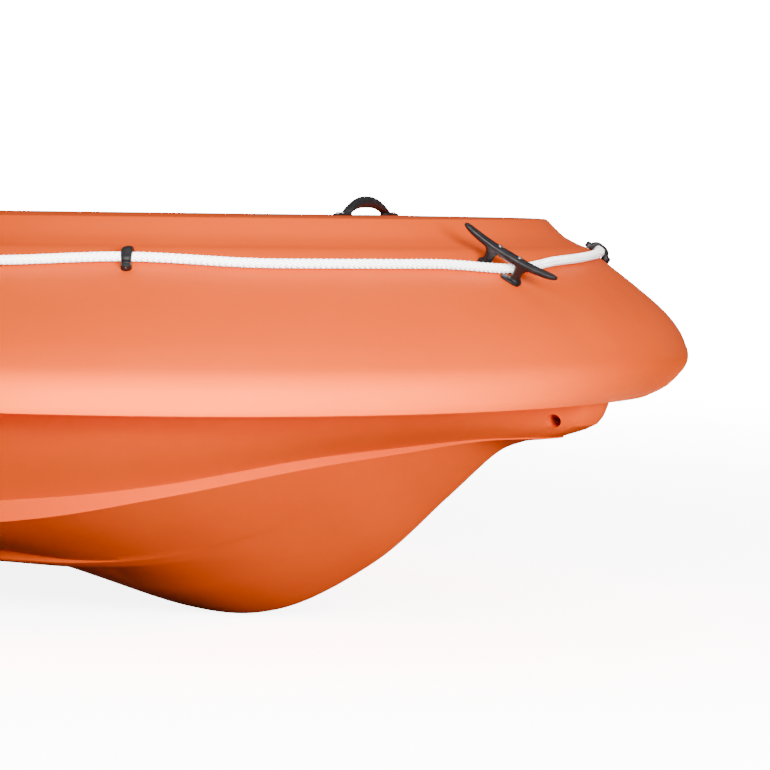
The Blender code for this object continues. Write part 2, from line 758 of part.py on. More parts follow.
def rope_point(ahead, behind, share, side):
    """A point of the rope over the facet between two stations."""
    distance = along_plan(ahead) + (along_plan(behind) - along_plan(ahead)) * share
    offset = rope_offset(distance, side)
    lift = 0.5 * ROPE_DIAMETER + ROPE_LIFT
    a = skin_frame(ahead, offset, side, lift).translation
    b = skin_frame(behind, offset, side, lift).translation
    return a.lerp(b, share)


def make_lifeline(finish, parent):
    """One rope from quarter to quarter, through every eye and under the cleat."""
    last = along_plan(station_at(HOLDER_PLACES[-1])) + ROPE_TAIL
    stations = plan_stations()
    sides = []
    for side in (-1, 1):
        path = []
        for ahead, behind in zip(stations, stations[1:]):
            run = along_plan(behind) - along_plan(ahead)
            parts = max(1, round(run / ROPE_STEP))
            path += [
                rope_point(ahead, behind, k / parts, side)
                for k in range(parts)
                if along_plan(ahead) + run * k / parts < last
            ]
        sides.append(path)
    points = list(reversed(sides[0])) + sides[1][1:]
    curve = bpy.data.curves.new("lifeline", "CURVE")
    curve.dimensions = "3D"
    curve.bevel_depth = 0.5 * ROPE_DIAMETER
    curve.bevel_resolution = 2
    curve.use_fill_caps = True
    spline = curve.splines.new("POLY")
    spline.points.add(len(points) - 1)
    for target, point in zip(spline.points, points):
        target.co = (*point, 1.0)
    curve.materials.append(finish)
    rope = bpy.data.objects.new("lifeline", curve)
    bpy.context.scene.collection.objects.link(rope)
    rope.parent = parent


def clear_objects():
    for piece in list(bpy.data.objects):
        bpy.data.objects.remove(piece, do_unlink=True)


def lowest_tangent():
    """The slope of the floor under the boat: from the runners' aft ends up to the forefoot."""
    aft = hull_lines(len(KEEL_LINE) - 1)
    end = min(aft, key=lambda point: point[2])
    slopes = []
    for k in range(400):
        x, z = curve_through(KEEL_LINE, 4.0 + 4.0 * k / 400)
        slopes.append((z - end[2]) / (x - end[0]))
    return min(slopes), end


def park(attitude, collar):
    """Turns the boat frame so that forefoot and runners stand on the floor, the collar centred."""
    slope, end = lowest_tangent()
    attitude.rotation_euler = (0.0, math.atan(slope), 0.0)
    bpy.context.view_layer.update()
    turned = attitude.matrix_world @ Vector(end)
    reach = [(attitude.matrix_world @ vertex.co).x for vertex in collar.data.vertices]
    attitude.location = (-0.5 * (min(reach) + max(reach)), 0.0, -turned.z)


def main():
    clear_objects()
    attitude = bpy.data.objects.new("parked attitude", None)
    bpy.context.scene.collection.objects.link(attitude)
    orange = material("orange polyethylene", (0.80, 0.165, 0.018), 0.42)
    nylon = material("black nylon", (0.012, 0.012, 0.014), 0.38)
    rope = material("white braided rope", (0.86, 0.86, 0.84), 0.85)
    steel = material("stainless steel", (0.62, 0.62, 0.60), 0.25, 1.0)
    make_hull(orange, attitude)
    collar = make_collar(orange, attitude)
    make_sole(orange, attitude)
    make_foredeck(orange, attitude)
    make_locker_lid(orange, nylon, attitude)
    make_thwart(orange, attitude)
    make_stern_bench(orange, attitude)
    make_transom(orange, attitude)
    make_motor_pads(nylon, attitude)
    make_drain(nylon, attitude)
    make_holders(nylon, attitude)
    make_handles(nylon, attitude)
    make_cleat(nylon, attitude)
    make_rowlocks(nylon, steel, attitude)
    make_stern_eyes(steel, attitude)
    make_lifeline(rope, attitude)
    park(attitude, collar)


main()
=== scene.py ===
"""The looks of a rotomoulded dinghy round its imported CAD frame.

Shapes are worked out in the boat frame: +X forward from the centre of the round bow, +Y to port, +Z up
from the lowest point of the forefoot. PARKED turns that frame to the way the boat stands on the floor.
"""

import math
import random

import bmesh
import bpy
from mathutils import Matrix, Vector


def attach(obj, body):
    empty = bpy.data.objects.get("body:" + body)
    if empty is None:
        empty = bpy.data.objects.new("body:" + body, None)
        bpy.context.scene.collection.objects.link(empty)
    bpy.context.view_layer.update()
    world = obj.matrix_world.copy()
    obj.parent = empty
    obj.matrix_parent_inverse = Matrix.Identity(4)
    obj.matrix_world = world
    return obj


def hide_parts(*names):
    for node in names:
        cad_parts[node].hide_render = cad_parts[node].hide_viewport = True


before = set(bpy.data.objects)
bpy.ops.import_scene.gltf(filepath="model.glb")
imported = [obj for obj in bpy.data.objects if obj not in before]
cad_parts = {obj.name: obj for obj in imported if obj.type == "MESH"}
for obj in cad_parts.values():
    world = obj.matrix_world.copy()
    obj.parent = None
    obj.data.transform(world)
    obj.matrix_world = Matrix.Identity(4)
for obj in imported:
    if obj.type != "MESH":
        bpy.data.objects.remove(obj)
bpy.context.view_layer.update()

# The boat frame's place in the world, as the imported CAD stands
PITCH = math.atan2(0.041741, 0.999128)
PARKED = Matrix.Translation((0.79642, 0.0, -0.002401)) @ Matrix.Rotation(-PITCH, 4, "Y")

# The photograph's camera, in the boat frame
VIEW_ANGLE = math.radians(25.0)
VIEW_DISTANCE = 5.3
VIEW_HEIGHT = 0.566
FOCAL_PIXELS = 3700.0
IMAGE_SIZE = 770
BOW_PIXEL = (185.0, 216.0)

# How bright the studio shows, and how bright it is to the boat
FLOOR_GLOW = 6.0
FLOOR_GAIN = 5.0
BACKDROP_GLOW = 17.0
FLOOR_SHADE = 0.11
WORLD_FILL = 0.20
BOW_LAMP_X = 0.797

# Dimensions of the frame in metres, repeated from the part's source
GAP = 0.0003
CREST_RADIUS = 0.516
RIM_REACH = 0.202
NOSE_LIFT = 0.012
NOSE_FROM = (0.125, 0.150)
NOSE_OVER = (0.065, 0.080)
CREST_HEIGHT = 0.562
SHEER_SLOPE = 0.012
COLLAR_DEPTH = 0.250
COLLAR_INNER = -0.090
STERN_X = -2.276
TRANSOM_X = -2.130
TRANSOM_THICKNESS = 0.050
FOREDECK_X = 0.200
STEP_X = -0.250
SOLE_HEIGHT = 0.200
SOLE_THICKNESS = 0.015
COCKPIT_HALF = CREST_RADIUS + COLLAR_INNER
MOTOR_MOUNT_HEIGHT = 0.480
RUNNER_SHARE = 0.60
RUNNER_WIDTH = 0.030
LOCKER = (0.060, -0.190, 0.210)
LOCKER_FLOOR = 0.200
LID_LAP = 0.018
LID_THICKNESS = 0.014
THWART = (-0.750, -1.030)
THWART_HEIGHT = 0.440
BENCH_X = -1.720
BENCH_HEIGHT = 0.400
TOW_HOLE = 0.018
TOW_HOLE_X = 0.580
TOW_HOLE_Z = 0.288
HANDLE_X = 0.280
HANDLE = (0.154, 0.027, 0.0135, 0.034, 0.018)
FOREDECK_CROWN = 0.002
STERN_HANDLE_X = -1.950
CLEAT_LENGTH = 0.145
CLEAT_ANGLE = 22.7
CLEAT_OFFSET = 0.096
CLEAT_TURN = 32.0
ROWLOCK_X = -1.320
SOCKET_HEIGHT = 0.030
HOLDER_PLACES = (72.0, -0.458, -1.130, -1.780)
HOLDER = (0.028, 0.0195, 0.006, 0.010, 0.016)
HOLDER_OFFSET = 0.079
BOW_HOLDER_ANGLE = 22.5
BOW_HOLDER_OFFSET = 0.072
ROPE_DIAMETER = 0.012
ROPE_LIFT = 0.0008
ROPE_OFFSET = 0.088
ROPE_RUN = 0.160
DIP_ANGLE = 20.7
ROPE_DIP = 0.0088
DIP_RUN = 0.110
BOW_ROPE_RUN = 0.420
ROPE_TAIL = 0.070
STRAND_STEP = 0.0076
SIDES = ((-1, "starboard"), (1, "port"))

# Dimensions that only the looks have, in metres
EYE_HEIGHT = 0.0180
EYE_SCREW = 0.0019
FITTING_SCREW = 0.0036
CLEAT_SCREW = 0.0034
PAD_SCREW = 0.0044
SMALL_SCREW = 0.0024
SCREW_INSET = 0.014
GRIP_PITCH = 0.016
GRIP_MARGIN = 0.012
GRIP_CORNER = 0.035
GRIP_RISE = 0.0020
SOLE_SEAM = 0.030
ROWLOCK_HORN = 0.036
ROWLOCK_MIDDLE = 0.046
ROWLOCK_HOLE = 0.0066
DRAIN = (0.200, 0.215)
DRAIN_SCREW_CIRCLE = 0.0188
STERN_EYE = (0.300, 0.270)
STERN_EYE_HALF = 0.021
KNOT_SIZE = 0.0042
KNOT_LENGTH = 0.0070

COLLAR_SECTION = (
    (-0.090, 0.250), (-0.090, 0.200), (-0.090, 0.145), (-0.090, 0.095), (-0.090, 0.062),
    (-0.080, 0.026), (-0.056, 0.006), (-0.030, 0.000), (-0.007, 0.0003), (0.000, 0.0010),
    (0.0055, 0.0058), (0.024, 0.0238), (0.044, 0.0352), (0.061, 0.0425), (0.082, 0.0590),
    (0.124, 0.0915), (0.163, 0.1245), (0.186, 0.1510), (0.198, 0.1780), (0.202, 0.1990),
    (0.194, 0.220), (0.173, 0.240), (0.146, 0.250),
)
SHEER_LINE = (
    (0.633, 0.000), (0.622, 0.048), (0.580, 0.070), (0.520, 0.112), (0.465, 0.235),
    (0.370, 0.385), (0.210, 0.530), (0.000, 0.592), (-0.300, 0.605), (-1.200, 0.605),
    (TRANSOM_X, 0.600),
)
BELLY_LINE = (
    (0.618, 0.000, 0.280), (0.606, 0.043, 0.280), (0.566, 0.064, 0.281), (0.505, 0.103, 0.283),
    (0.445, 0.214, 0.282), (0.345, 0.358, 0.275), (0.185, 0.492, 0.264), (-0.010, 0.549, 0.258),
    (-0.300, 0.562, 0.255), (-1.200, 0.565, 0.255), (TRANSOM_X, 0.562, 0.255),
)
CHINE_LINE = (
    (0.570, 0.000, 0.263), (0.560, 0.034, 0.263), (0.525, 0.053, 0.263), (0.474, 0.086, 0.261),
    (0.410, 0.184, 0.255), (0.315, 0.312, 0.243), (0.160, 0.430, 0.213), (-0.020, 0.486, 0.194),
    (-0.300, 0.502, 0.182), (-1.200, 0.508, 0.176), (TRANSOM_X, 0.508, 0.176),
)
CHINE_STRIP = (0.002, 0.002, 0.002, 0.003, 0.008, 0.013, 0.017, 0.028, 0.032, 0.032, 0.032)
RUNNER_DEPTH = (0.0,) * 7 + (0.003, 0.019, 0.024, 0.0316)
BOTTOM_CURVE = 1.2
KEEL_LINE = (
    (0.560, 0.260), (0.540, 0.258), (0.508, 0.253), (0.466, 0.232), (0.385, 0.160),
    (0.290, 0.078), (0.150, 0.009), (0.010, 0.0065), (-0.190, 0.071), (-0.700, 0.100),
    (TRANSOM_X, 0.100),
)


# Materials


class Nodes:
    """A short way to write a material's node tree."""

    def __init__(self, name):
        self.material = bpy.data.materials.new(name)
        self.material.use_nodes = True
        self.tree = self.material.node_tree
        self.shader = self.tree.nodes["Principled BSDF"]
        self.place = self.add("ShaderNodeTexCoord").outputs["Object"]

    def add(self, kind, inputs=None, **settings):
        node = self.tree.nodes.new(kind)
        for key, value in settings.items():
            setattr(node, key, value)
        for key, value in (inputs or {}).items():
            self.put(node.inputs[key], value)
        return node

    def put(self, socket, value):
        if isinstance(value, bpy.types.NodeSocket):
            self.tree.links.new(value, socket)
        else:
            socket.default_value = value

    def noise(self, scale, detail=4.0, roughness=0.5, place=None):
        node = self.add(
            "ShaderNodeTexNoise",
            {"Vector": place or self.place, "Scale": scale, "Detail": detail, "Roughness": roughness},
        )
        return node.outputs["Fac"]

    def stretch(self, scale):
        return self.add("ShaderNodeMapping", {"Vector": self.place, "Scale": scale}).outputs["Vector"]

    def span(self, value, low, high, to_low=0.0, to_high=1.0):
        inputs = {"Value": value, "From Min": low, "From Max": high, "To Min": to_low, "To Max": to_high}
        return self.add("ShaderNodeMapRange", inputs, interpolation_type="SMOOTHSTEP").outputs["Result"]

    def math(self, operation, a, b=0.0):
        return self.add("ShaderNodeMath", {0: a, 1: b}, operation=operation).outputs[0]

    def mix(self, share, a, b):
        return self.add("ShaderNodeMix", {0: share, 6: a, 7: b}, data_type="RGBA").outputs[2]

    def bump(self, height, strength, distance, below=None):
        node = self.add("ShaderNodeBump", {"Height": height, "Strength": strength, "Distance": distance})
        if below:
            self.put(node.inputs["Normal"], below)
        return node.outputs["Normal"]

    def finish(self, colour, roughness, normal=None, **fixed):
        self.put(self.shader.inputs["Base Color"], colour)
        self.put(self.shader.inputs["Roughness"], roughness)
        if normal:
            self.put(self.shader.inputs["Normal"], normal)
        for key, value in fixed.items():
            self.shader.inputs[key.replace("_", " ")].default_value = value
        return self.material


def polyethylene(name, grip=False):
    """Rotomoulded orange plastic: soft mottling, a fine moulded grain and slow waves in its gloss."""
    n = Nodes(name)
    broad = n.noise(1.7, 3.0)
    cloud = n.noise(9.0, 5.0, 0.6)
    speck = n.noise(620.0, 2.0)
    colour = n.mix(n.span(broad, 0.3, 0.7), (0.86, 0.084, 0.001, 1.0), (0.91, 0.096, 0.002, 1.0))
    colour = n.mix(n.span(cloud, 0.35, 0.75, 0.0, 0.30), colour, (0.93, 0.115, 0.003, 1.0))
    colour = n.mix(n.span(speck, 0.62, 0.78, 0.0, 0.30), colour, (0.95, 0.160, 0.008, 1.0))
    scuff = n.noise(1.0, 6.0, 0.7, n.stretch((3.0, 60.0, 60.0)))
    colour = n.mix(n.span(scuff, 0.66, 0.80, 0.0, 0.10), colour, (0.95, 0.24, 0.03, 1.0))
    gloss = n.span(n.noise(14.0, 4.0, 0.6), 0.3, 0.7, 0.40, 0.50)
    if grip:
        gloss = n.math("ADD", gloss, 0.14)
    wave = n.bump(n.noise(6.5, 2.0), 0.10, 0.02)
    peel = n.bump(n.noise(240.0, 3.0, 0.55), 0.10, 0.0012, wave)
    grain = n.bump(n.noise(1500.0, 2.0), 0.45 if grip else 0.12, 0.0004, peel)
    return n.finish(colour, gloss, grain, Specular_IOR_Level=0.1, Specular_Tint=(1.0, 0.6, 0.4, 1.0))


def nylon(name):
    """Black injection-moulded nylon with a fine spark-eroded grain and lighter rubbed patches at random."""
    n = Nodes(name)
    rub = n.noise(75.0, 5.0, 0.65)
    colour = n.mix(n.span(rub, 0.45, 0.8), (0.009, 0.0085, 0.010, 1.0), (0.034, 0.032, 0.036, 1.0))
    gloss = n.span(n.noise(40.0, 4.0), 0.3, 0.7, 0.30, 0.46)
    grain = n.bump(n.noise(1900.0, 2.0), 0.30, 0.0003)
    return n.finish(colour, gloss, grain)


def braid(name):
    """White 16-plait polyester: over-and-under strands drawn along the rope's own length, with painted shade in the
    valleys between strands.
    """
    n = Nodes(name)
    uv = n.add("ShaderNodeUVMap", uv_map="along").outputs["UV"]
    split = n.add("ShaderNodeSeparateXYZ", {0: uv})
    length, turn = split.outputs["X"], split.outputs["Y"]
    lay = n.math("MULTIPLY", length, 1.0 / STRAND_STEP)
    round_it = n.math("MULTIPLY", turn, 8.0)
    right = n.math("ADD", round_it, lay)
    left = n.math("SUBTRACT", round_it, lay)
    weave = n.math("ADD", n.math("FLOOR", right), n.math("FLOOR", left))
    over = n.math("ABSOLUTE", n.math("MODULO", weave, 2.0))
    a = n.math("ABSOLUTE", n.math("SINE", n.math("MULTIPLY", right, math.pi)))
    b = n.math("ABSOLUTE", n.math("SINE", n.math("MULTIPLY", left, math.pi)))
    height = n.add("ShaderNodeMix", {0: over, 2: a, 3: b}, data_type="FLOAT").outputs[0]
    fibre = n.noise(1600.0, 3.0)
    # The valleys between strands are painted darker grey: painted shade between the strands, not a colour of the
    # rope.
    colour = n.mix(n.span(height, 0.0, 0.55), (0.45, 0.44, 0.43, 1.0), (0.95, 0.95, 0.94, 1.0))
    colour = n.mix(n.span(fibre, 0.55, 0.8, 0.0, 0.4), colour, (0.82, 0.82, 0.81, 1.0))
    normal = n.bump(fibre, 0.3, 0.0004, n.bump(height, 0.8, 0.0012))
    return n.finish(colour, 0.78, normal, Sheen_Weight=0.25, Sheen_Roughness=0.5)


def steel(name):
    """Stainless steel with a fine drawn grain."""
    n = Nodes(name)
    lines = n.noise(1.0, 4.0, 0.6, n.stretch((40.0, 900.0, 900.0)))
    colour = n.mix(n.span(lines, 0.3, 0.7), (0.56, 0.56, 0.55, 1.0), (0.70, 0.70, 0.69, 1.0))
    gloss = n.span(lines, 0.3, 0.7, 0.20, 0.34)
    return n.finish(colour, gloss, n.bump(lines, 0.08, 0.0004), Metallic=1.0)


ORANGE = polyethylene("orange_polyethylene")
GRIP = polyethylene("orange_polyethylene_grip", grip=True)
NYLON = nylon("black_nylon")
ROPE = braid("white_braided_rope")
STEEL = steel("stainless_steel")


# Making pieces


def moved(x, y, z):
    return Matrix.Translation((x, y, z))


def turned(degrees, axis):
    return Matrix.Rotation(math.radians(degrees), 4, axis)


def put_in_scene(thing):
    bpy.context.scene.collection.objects.link(thing)


def curve_through(points, t):
    """A smooth curve through the points, at t counted in points from the first."""
    last = len(points) - 1
    i = min(int(t), last - 1)
    f = t - i
    a = points[max(i - 1, 0)]
    b = points[i]
    c = points[i + 1]
    d = points[min(i + 2, last)]
    return tuple(
        0.5 * (2 * q + (r - p) * f + (2 * p - 5 * q + 4 * r - s) * f * f + (3 * q - p - 3 * r + s) * f**3)
        for p, q, r, s in zip(a, b, c, d)
    )


def resampled(points, parts):
    """The points with a smooth curve drawn through them, each stretch in equal parts."""
    fine = [curve_through(points, i + k / parts) for i in range(len(points) - 1) for k in range(parts)]
    return fine + [points[-1]]


def build(name, vertices, faces, finish, place=None, smooth=40.0):
    """A mesh in the boat frame, or in a frame placed in it, with its faces turned out."""
    mesh = bpy.data.meshes.new(name)
    work = bmesh.new()
    made = [work.verts.new(v) for v in vertices]
    for face in faces:
        if len(set(face)) > 2:
            work.faces.new([made[i] for i in face])
    bmesh.ops.remove_doubles(work, verts=work.verts, dist=0.00001)
    bmesh.ops.dissolve_degenerate(work, dist=0.00001, edges=work.edges)
    bmesh.ops.recalc_face_normals(work, faces=work.faces)
    work.to_mesh(mesh)
    work.free()
    mesh.materials.append(finish)
    if place is not None:
        mesh.transform(place)
    piece = bpy.data.objects.new(name, mesh)
    put_in_scene(piece)
    shade(piece, smooth)
    return piece


def shade(piece, angle):
    piece.data.shade_smooth()
    piece.data.set_sharp_from_angle(angle=math.radians(angle))


def loft(name, rings, finish, place=None, smooth=40.0):
    """A body through rings of equally many points, its ends filled."""
    n = len(rings[0])
    vertices = [point for ring in rings for point in ring]
    faces = [tuple(range(n)), tuple(range(len(vertices) - n, len(vertices)))]
    for k in range(len(rings) - 1):
        a = k * n
        b = a + n
        faces += [(a + i, a + (i + 1) % n, b + (i + 1) % n, b + i) for i in range(n)]
    return build(name, vertices, faces, finish, place, smooth)


def prism(name, outline, low, high, finish, place=None):
    rings = [[(x, y, z) for x, y in outline] for z in (low, high)]
    return loft(name, rings, finish, place)


def soften(piece, width, segments, angle):
    """Rounds a piece's edges and keeps the result in its mesh."""
    bevel = piece.modifiers.new("rounded", "BEVEL")
    bevel.width = width
    bevel.segments = segments
    bevel.limit_method = "ANGLE"
    bevel.angle_limit = math.radians(angle)
    bevel.harden_normals = False
    settle(piece)
    shade(piece, 40.0)


def settle(piece):
    """Turns a piece's modifiers into its mesh."""
    depsgraph = bpy.context.evaluated_depsgraph_get()
    mesh = bpy.data.meshes.new_from_object(piece.evaluated_get(depsgraph))
    piece.modifiers.clear()
    piece.data = mesh


def drop(*pieces):
    for piece in pieces:
        bpy.data.objects.remove(piece, do_unlink=True)


def carve(piece, *cutters):
    for cutter in cutters:
        boolean = piece.modifiers.new("carve", "BOOLEAN")
        boolean.operation = "DIFFERENCE"
        boolean.object = cutter
    settle(piece)
    drop(*cutters)


def gather(name, pieces):
    """Joins pieces into one mesh."""
    work = bmesh.new()
    finishes = []
    for piece in pieces:
        start = len(work.faces)
        work.from_mesh(piece.data)
        work.faces.ensure_lookup_table()
        for face in work.faces[start:]:
            finish = piece.data.materials[face.material_index]
            if finish not in finishes:
                finishes.append(finish)
            face.material_index = finishes.index(finish)
    mesh = bpy.data.meshes.new(name)
    work.to_mesh(mesh)
    work.free()
    for finish in finishes:
        mesh.materials.append(finish)
    drop(*pieces)
    joined = bpy.data.objects.new(name, mesh)
    put_in_scene(joined)
    return joined


def moulded(name, pieces, voxel):
    """Joins pieces into one skin with soft fillets, as a moulding has."""
    body = gather(name, pieces)
    remesh = body.modifiers.new("skin", "REMESH")
    remesh.mode = "VOXEL"
    remesh.voxel_size = voxel
    relax = body.modifiers.new("relax", "SMOOTH")
    relax.factor = 0.5
    relax.iterations = 4
    finish = body.data.materials[0]
    settle(body)
    body.data.materials.clear()
    body.data.materials.append(finish)
    body.data.shade_smooth()
    return body


def show(piece, slot, *nodes, body="boat"):
    """Stands a piece in the parked boat, on its body, in place of CAD nodes."""
    piece.data.transform(PARKED)
    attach(piece, body)
    if nodes:
        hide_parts(*nodes)
    return piece


# The collar's plan and skin


def crest_height(x):
    return CREST_HEIGHT + SHEER_SLOPE * (CREST_RADIUS - x)


def station_at(place):
    """A station from its angle from the stem in degrees, or its distance aft in metres if negative."""
    if place < 0:
        return (place, 0.0, 1.0)
    turn = math.radians(place)
    return (0.0, math.cos(turn), math.sin(turn))


def on_plan(station, offset, below, side=-1):
    """The point at an offset outboard of the crest and a depth below it; the rim's underside lifts at the nose."""
    centre, out_x, out_y = station
    reach = CREST_RADIUS + offset
    x = centre + reach * out_x
    low = 1.0
    for value, start, run in zip((offset, below), NOSE_FROM, NOSE_OVER):
        low *= min(max((value - start) / run, 0.0), 1.0)
    return Vector((x, side * reach * out_y, crest_height(x) - below + NOSE_LIFT * low * out_x**6))


SKIN_PARTS = 5
SKIN = resampled(COLLAR_SECTION, SKIN_PARTS)
CREST_INDEX = COLLAR_SECTION.index((0.000, 0.0010)) * SKIN_PARTS


def skin_frame(station, offset, side, lift=0.0):
    """A frame on the collar's skin: X along it, Y down its slope, Z out of it."""
    index = CREST_INDEX + 1
    while SKIN[index][0] < offset:
        index += 1
    (o1, b1), (o2, b2) = SKIN[index - 1], SKIN[index]
    below = b1 + (b2 - b1) * (offset - o1) / (o2 - o1)
    length = math.hypot(o2 - o1, b2 - b1)
    _, out_x, out_y = station
    outward = Vector((out_x, side * out_y, 0.0))
    up = Vector((0.0, 0.0, 1.0))
    slope = (outward * (o2 - o1) - up * (b2 - b1)) / length
    normal = (outward * (b2 - b1) + up * (o2 - o1)) / length
    point = on_plan(station, offset, below, side) + normal * lift
    place = Matrix.Identity(4)
    for row, values in enumerate(zip(slope.cross(normal), slope, normal, point)):
        place[row][:] = values
    return place


def crest_frame(x, side):
    place = moved(x, side * (CREST_RADIUS - 0.014), crest_height(x) + 1.5 * GAP)
    return place @ Matrix.Rotation(math.atan(SHEER_SLOPE), 4, "Y")


def make_collar():
    half = [station_at(90.0 * i / 60) for i in range(61)]
    half += [(TRANSOM_X * i / 28, 0.0, 1.0) for i in range(1, 29)]
    lip = COLLAR_SECTION[-1][0]
    section = SKIN + [(lip + (COLLAR_INNER - lip) * k / 6, COLLAR_DEPTH) for k in range(1, 6)]
    rings = []
    for side, stations in ((-1, list(reversed(half))), (1, half[1:])):
        for station in stations:
            rings.append([on_plan(station, offset, below, side) for offset, below in section])
    middle = (0.5 * (RIM_REACH + COLLAR_INNER), 0.55 * COLLAR_DEPTH)
    overhang = TRANSOM_X - STERN_X
    for side in (-1, 1):
        ends = []
        for k in range(1, 17):
            t = math.sin(math.radians(90.0) * k / 16)
            shrink = max(math.sqrt(max(1.0 - t * t, 0.0)), 0.05)
            shrink = shrink if shrink > 0.30 else 0.30 * (shrink / 0.30) ** 0.5
            station = (TRANSOM_X - overhang * t, 0.0, 1.0)
            ends.append([
                on_plan(station, middle[0] + (o - middle[0]) * shrink, middle[1] + (b - middle[1]) * shrink, side)
                for o, b in section
            ])
        rings = list(reversed(ends)) + rings if side < 0 else rings + ends
    return show(loft("collar_skin", rings, ORANGE, smooth=50.0), "polyethylene", "collar")


# The hull


def hull_lines(t):
    """The half section of the hull at t points aft of the stem, sheer to keel."""
    sheer = curve_through(SHEER_LINE, t)
    belly = curve_through(BELLY_LINE, t)
    chine = curve_through(CHINE_LINE, t)
    strip = curve_through([(depth,) for depth in CHINE_STRIP], t)[0]
    runner = curve_through([(depth,) for depth in RUNNER_DEPTH], t)[0]
    keel = curve_through(KEEL_LINE, t)
    top = crest_height(sheer[0]) - COLLAR_DEPTH - GAP
    low = (chine[0], max(chine[1] - 0.1 * strip, 0.0), chine[2] - strip)
    edge = 0.5 * RUNNER_WIDTH / max(low[1], 5.0 * RUNNER_WIDTH)
    half = resampled([(sheer[0], sheer[1], top), belly, chine], 3)
    half += [tuple(c + (l - c) * k / 3 for c, l in zip(chine, low)) for k in (1, 2, 3)]
    bottom = [(share, 0.0) for share in (0.94, 0.88, 0.81, 0.74, 0.67)]
    bottom += [
        (RUNNER_SHARE + edge, 0.0),
        (RUNNER_SHARE + 0.9 * edge, 0.85 * runner),
        (RUNNER_SHARE + 0.7 * edge, runner),
        (RUNNER_SHARE - 0.5 * edge, runner),
        (RUNNER_SHARE - 0.75 * edge, 0.8 * runner),
        (RUNNER_SHARE - edge, 0.0),
    ]
    bottom += [(share, 0.0) for share in (0.36, 0.28, 0.21, 0.15, 0.10, 0.06, 0.03, 0.012)]
    for share, below in bottom:
        x = keel[0] + (low[0] - keel[0]) * share
        z = keel[1] + (low[2] - keel[1]) * share**BOTTOM_CURVE
        half.append((x, low[1] * share, z - below))
    half.append((keel[0], 0.0, keel[1]))
    return half


def rounded_outline(front, back, half_width, corner=0.060, inset=0.0, front_corner=None, steps=8):
    """A plan outline with round corners, symmetric about the centreline."""
    points = []
    fore = front_corner or corner
    centres = (
        (front - inset - fore, half_width - inset - fore, 0.0, fore),
        (back + inset + corner, half_width - inset - corner, 90.0, corner),
        (back + inset + corner, -half_width + inset + corner, 180.0, corner),
        (front - inset - fore, -half_width + inset + fore, 270.0, fore),
    )
    for x, y, start, corner in centres:
        for k in range(steps + 1):
            turn = math.radians(start + 90.0 * k / steps)
            points.append((x + corner * math.cos(turn), y + corner * math.sin(turn)))
    return points


def circle(radius, sides, x=0.0, y=0.0):
    turns = [2.0 * math.pi * k / sides for k in range(sides)]
    return [(x + radius * math.cos(turn), y + radius * math.sin(turn)) for turn in turns]


def step_height():
    return crest_height(0.5 * (LOCKER[0] + LOCKER[1])) - COLLAR_DEPTH - GAP


def make_hull():
    steps = []
    for i in range(len(KEEL_LINE) - 1):
        parts = 14 if 3 <= i <= 8 else 8
        steps += [i + k / parts for k in range(parts)]
    sections = [hull_lines(t) for t in steps + [len(KEEL_LINE) - 1]]
    n = len(sections[0])
    vertices = []
    for section in sections:
        vertices += section + [(x, -y, z) for x, y, z in section]
    faces = []
    for k in range(len(sections) - 1):
        a = 2 * n * k
        b = a + 2 * n
        for i in range(n - 1):
            faces.append((a + i, a + i + 1, b + i + 1, b + i))
            faces.append((a + n + i, b + n + i, b + n + i + 1, a + n + i + 1))
        faces.append((a, b, b + n, a + n))
    a = 2 * n * (len(sections) - 1)
    faces.append(tuple(a + i for i in range(n)) + tuple(a + n + i for i in reversed(range(n - 1))))
    hull = build("hull_skin", vertices, faces, ORANGE, smooth=24.0)
    recess = rounded_outline(STEP_X, TRANSOM_X + TRANSOM_THICKNESS, COCKPIT_HALF)
    front, back, half = LOCKER
    hollow = rounded_outline(front, back, half, corner=0.030)
    rebate = rounded_outline(front + LID_LAP, back - LID_LAP, half + LID_LAP, corner=0.040)
    tunnel = moved(TOW_HOLE_X, 0.0, TOW_HOLE_Z) @ turned(90.0, "X")
    carve(
        hull,
        prism("recess", recess, SOLE_HEIGHT - SOLE_THICKNESS - GAP, 0.5, ORANGE),
        prism("hollow", hollow, LOCKER_FLOOR, 0.5, ORANGE),
        prism("rebate", rebate, step_height() - LID_THICKNESS, 0.5, ORANGE),
        prism("tunnel", circle(0.5 * TOW_HOLE, 32), -0.2, 0.2, ORANGE, tunnel),
    )
    shade(hull, 24.0)
    return show(hull, "polyethylene", "hull")


# Deck, seats and sole


def make_foredeck():
    reach = CREST_RADIUS + COLLAR_INNER - 2.0 * GAP
    limit = math.degrees(math.acos(FOREDECK_X / reach))
    arc = [math.radians(limit * k / 40) for k in range(-40, 41)]
    outline = [(reach * math.cos(turn), reach * math.sin(turn)) for turn in arc]
    rings = []
    for inset, below in (
        (0.0, COLLAR_DEPTH - GAP), (0.0, 0.064), (0.0015, 0.045), (0.005, 0.026), (0.012, 0.011), (0.024, 0.003),
        (0.040, 0.0), (0.07, -0.4 * FOREDECK_CROWN), (0.12, -0.8 * FOREDECK_CROWN), (0.20, -FOREDECK_CROWN),
    ):
        scale = 1.0 - inset / reach
        ring = []
        for x, y in outline:
            x = FOREDECK_X + (x - FOREDECK_X) * scale
            ring.append((x, y * scale, crest_height(x) - below))
        rings.append(ring)
    deck = loft("foredeck_skin", rings, ORANGE, smooth=35.0)
    soften(deck, 0.006, 3, 50.0)
    return show(deck, "polyethylene", "foredeck")


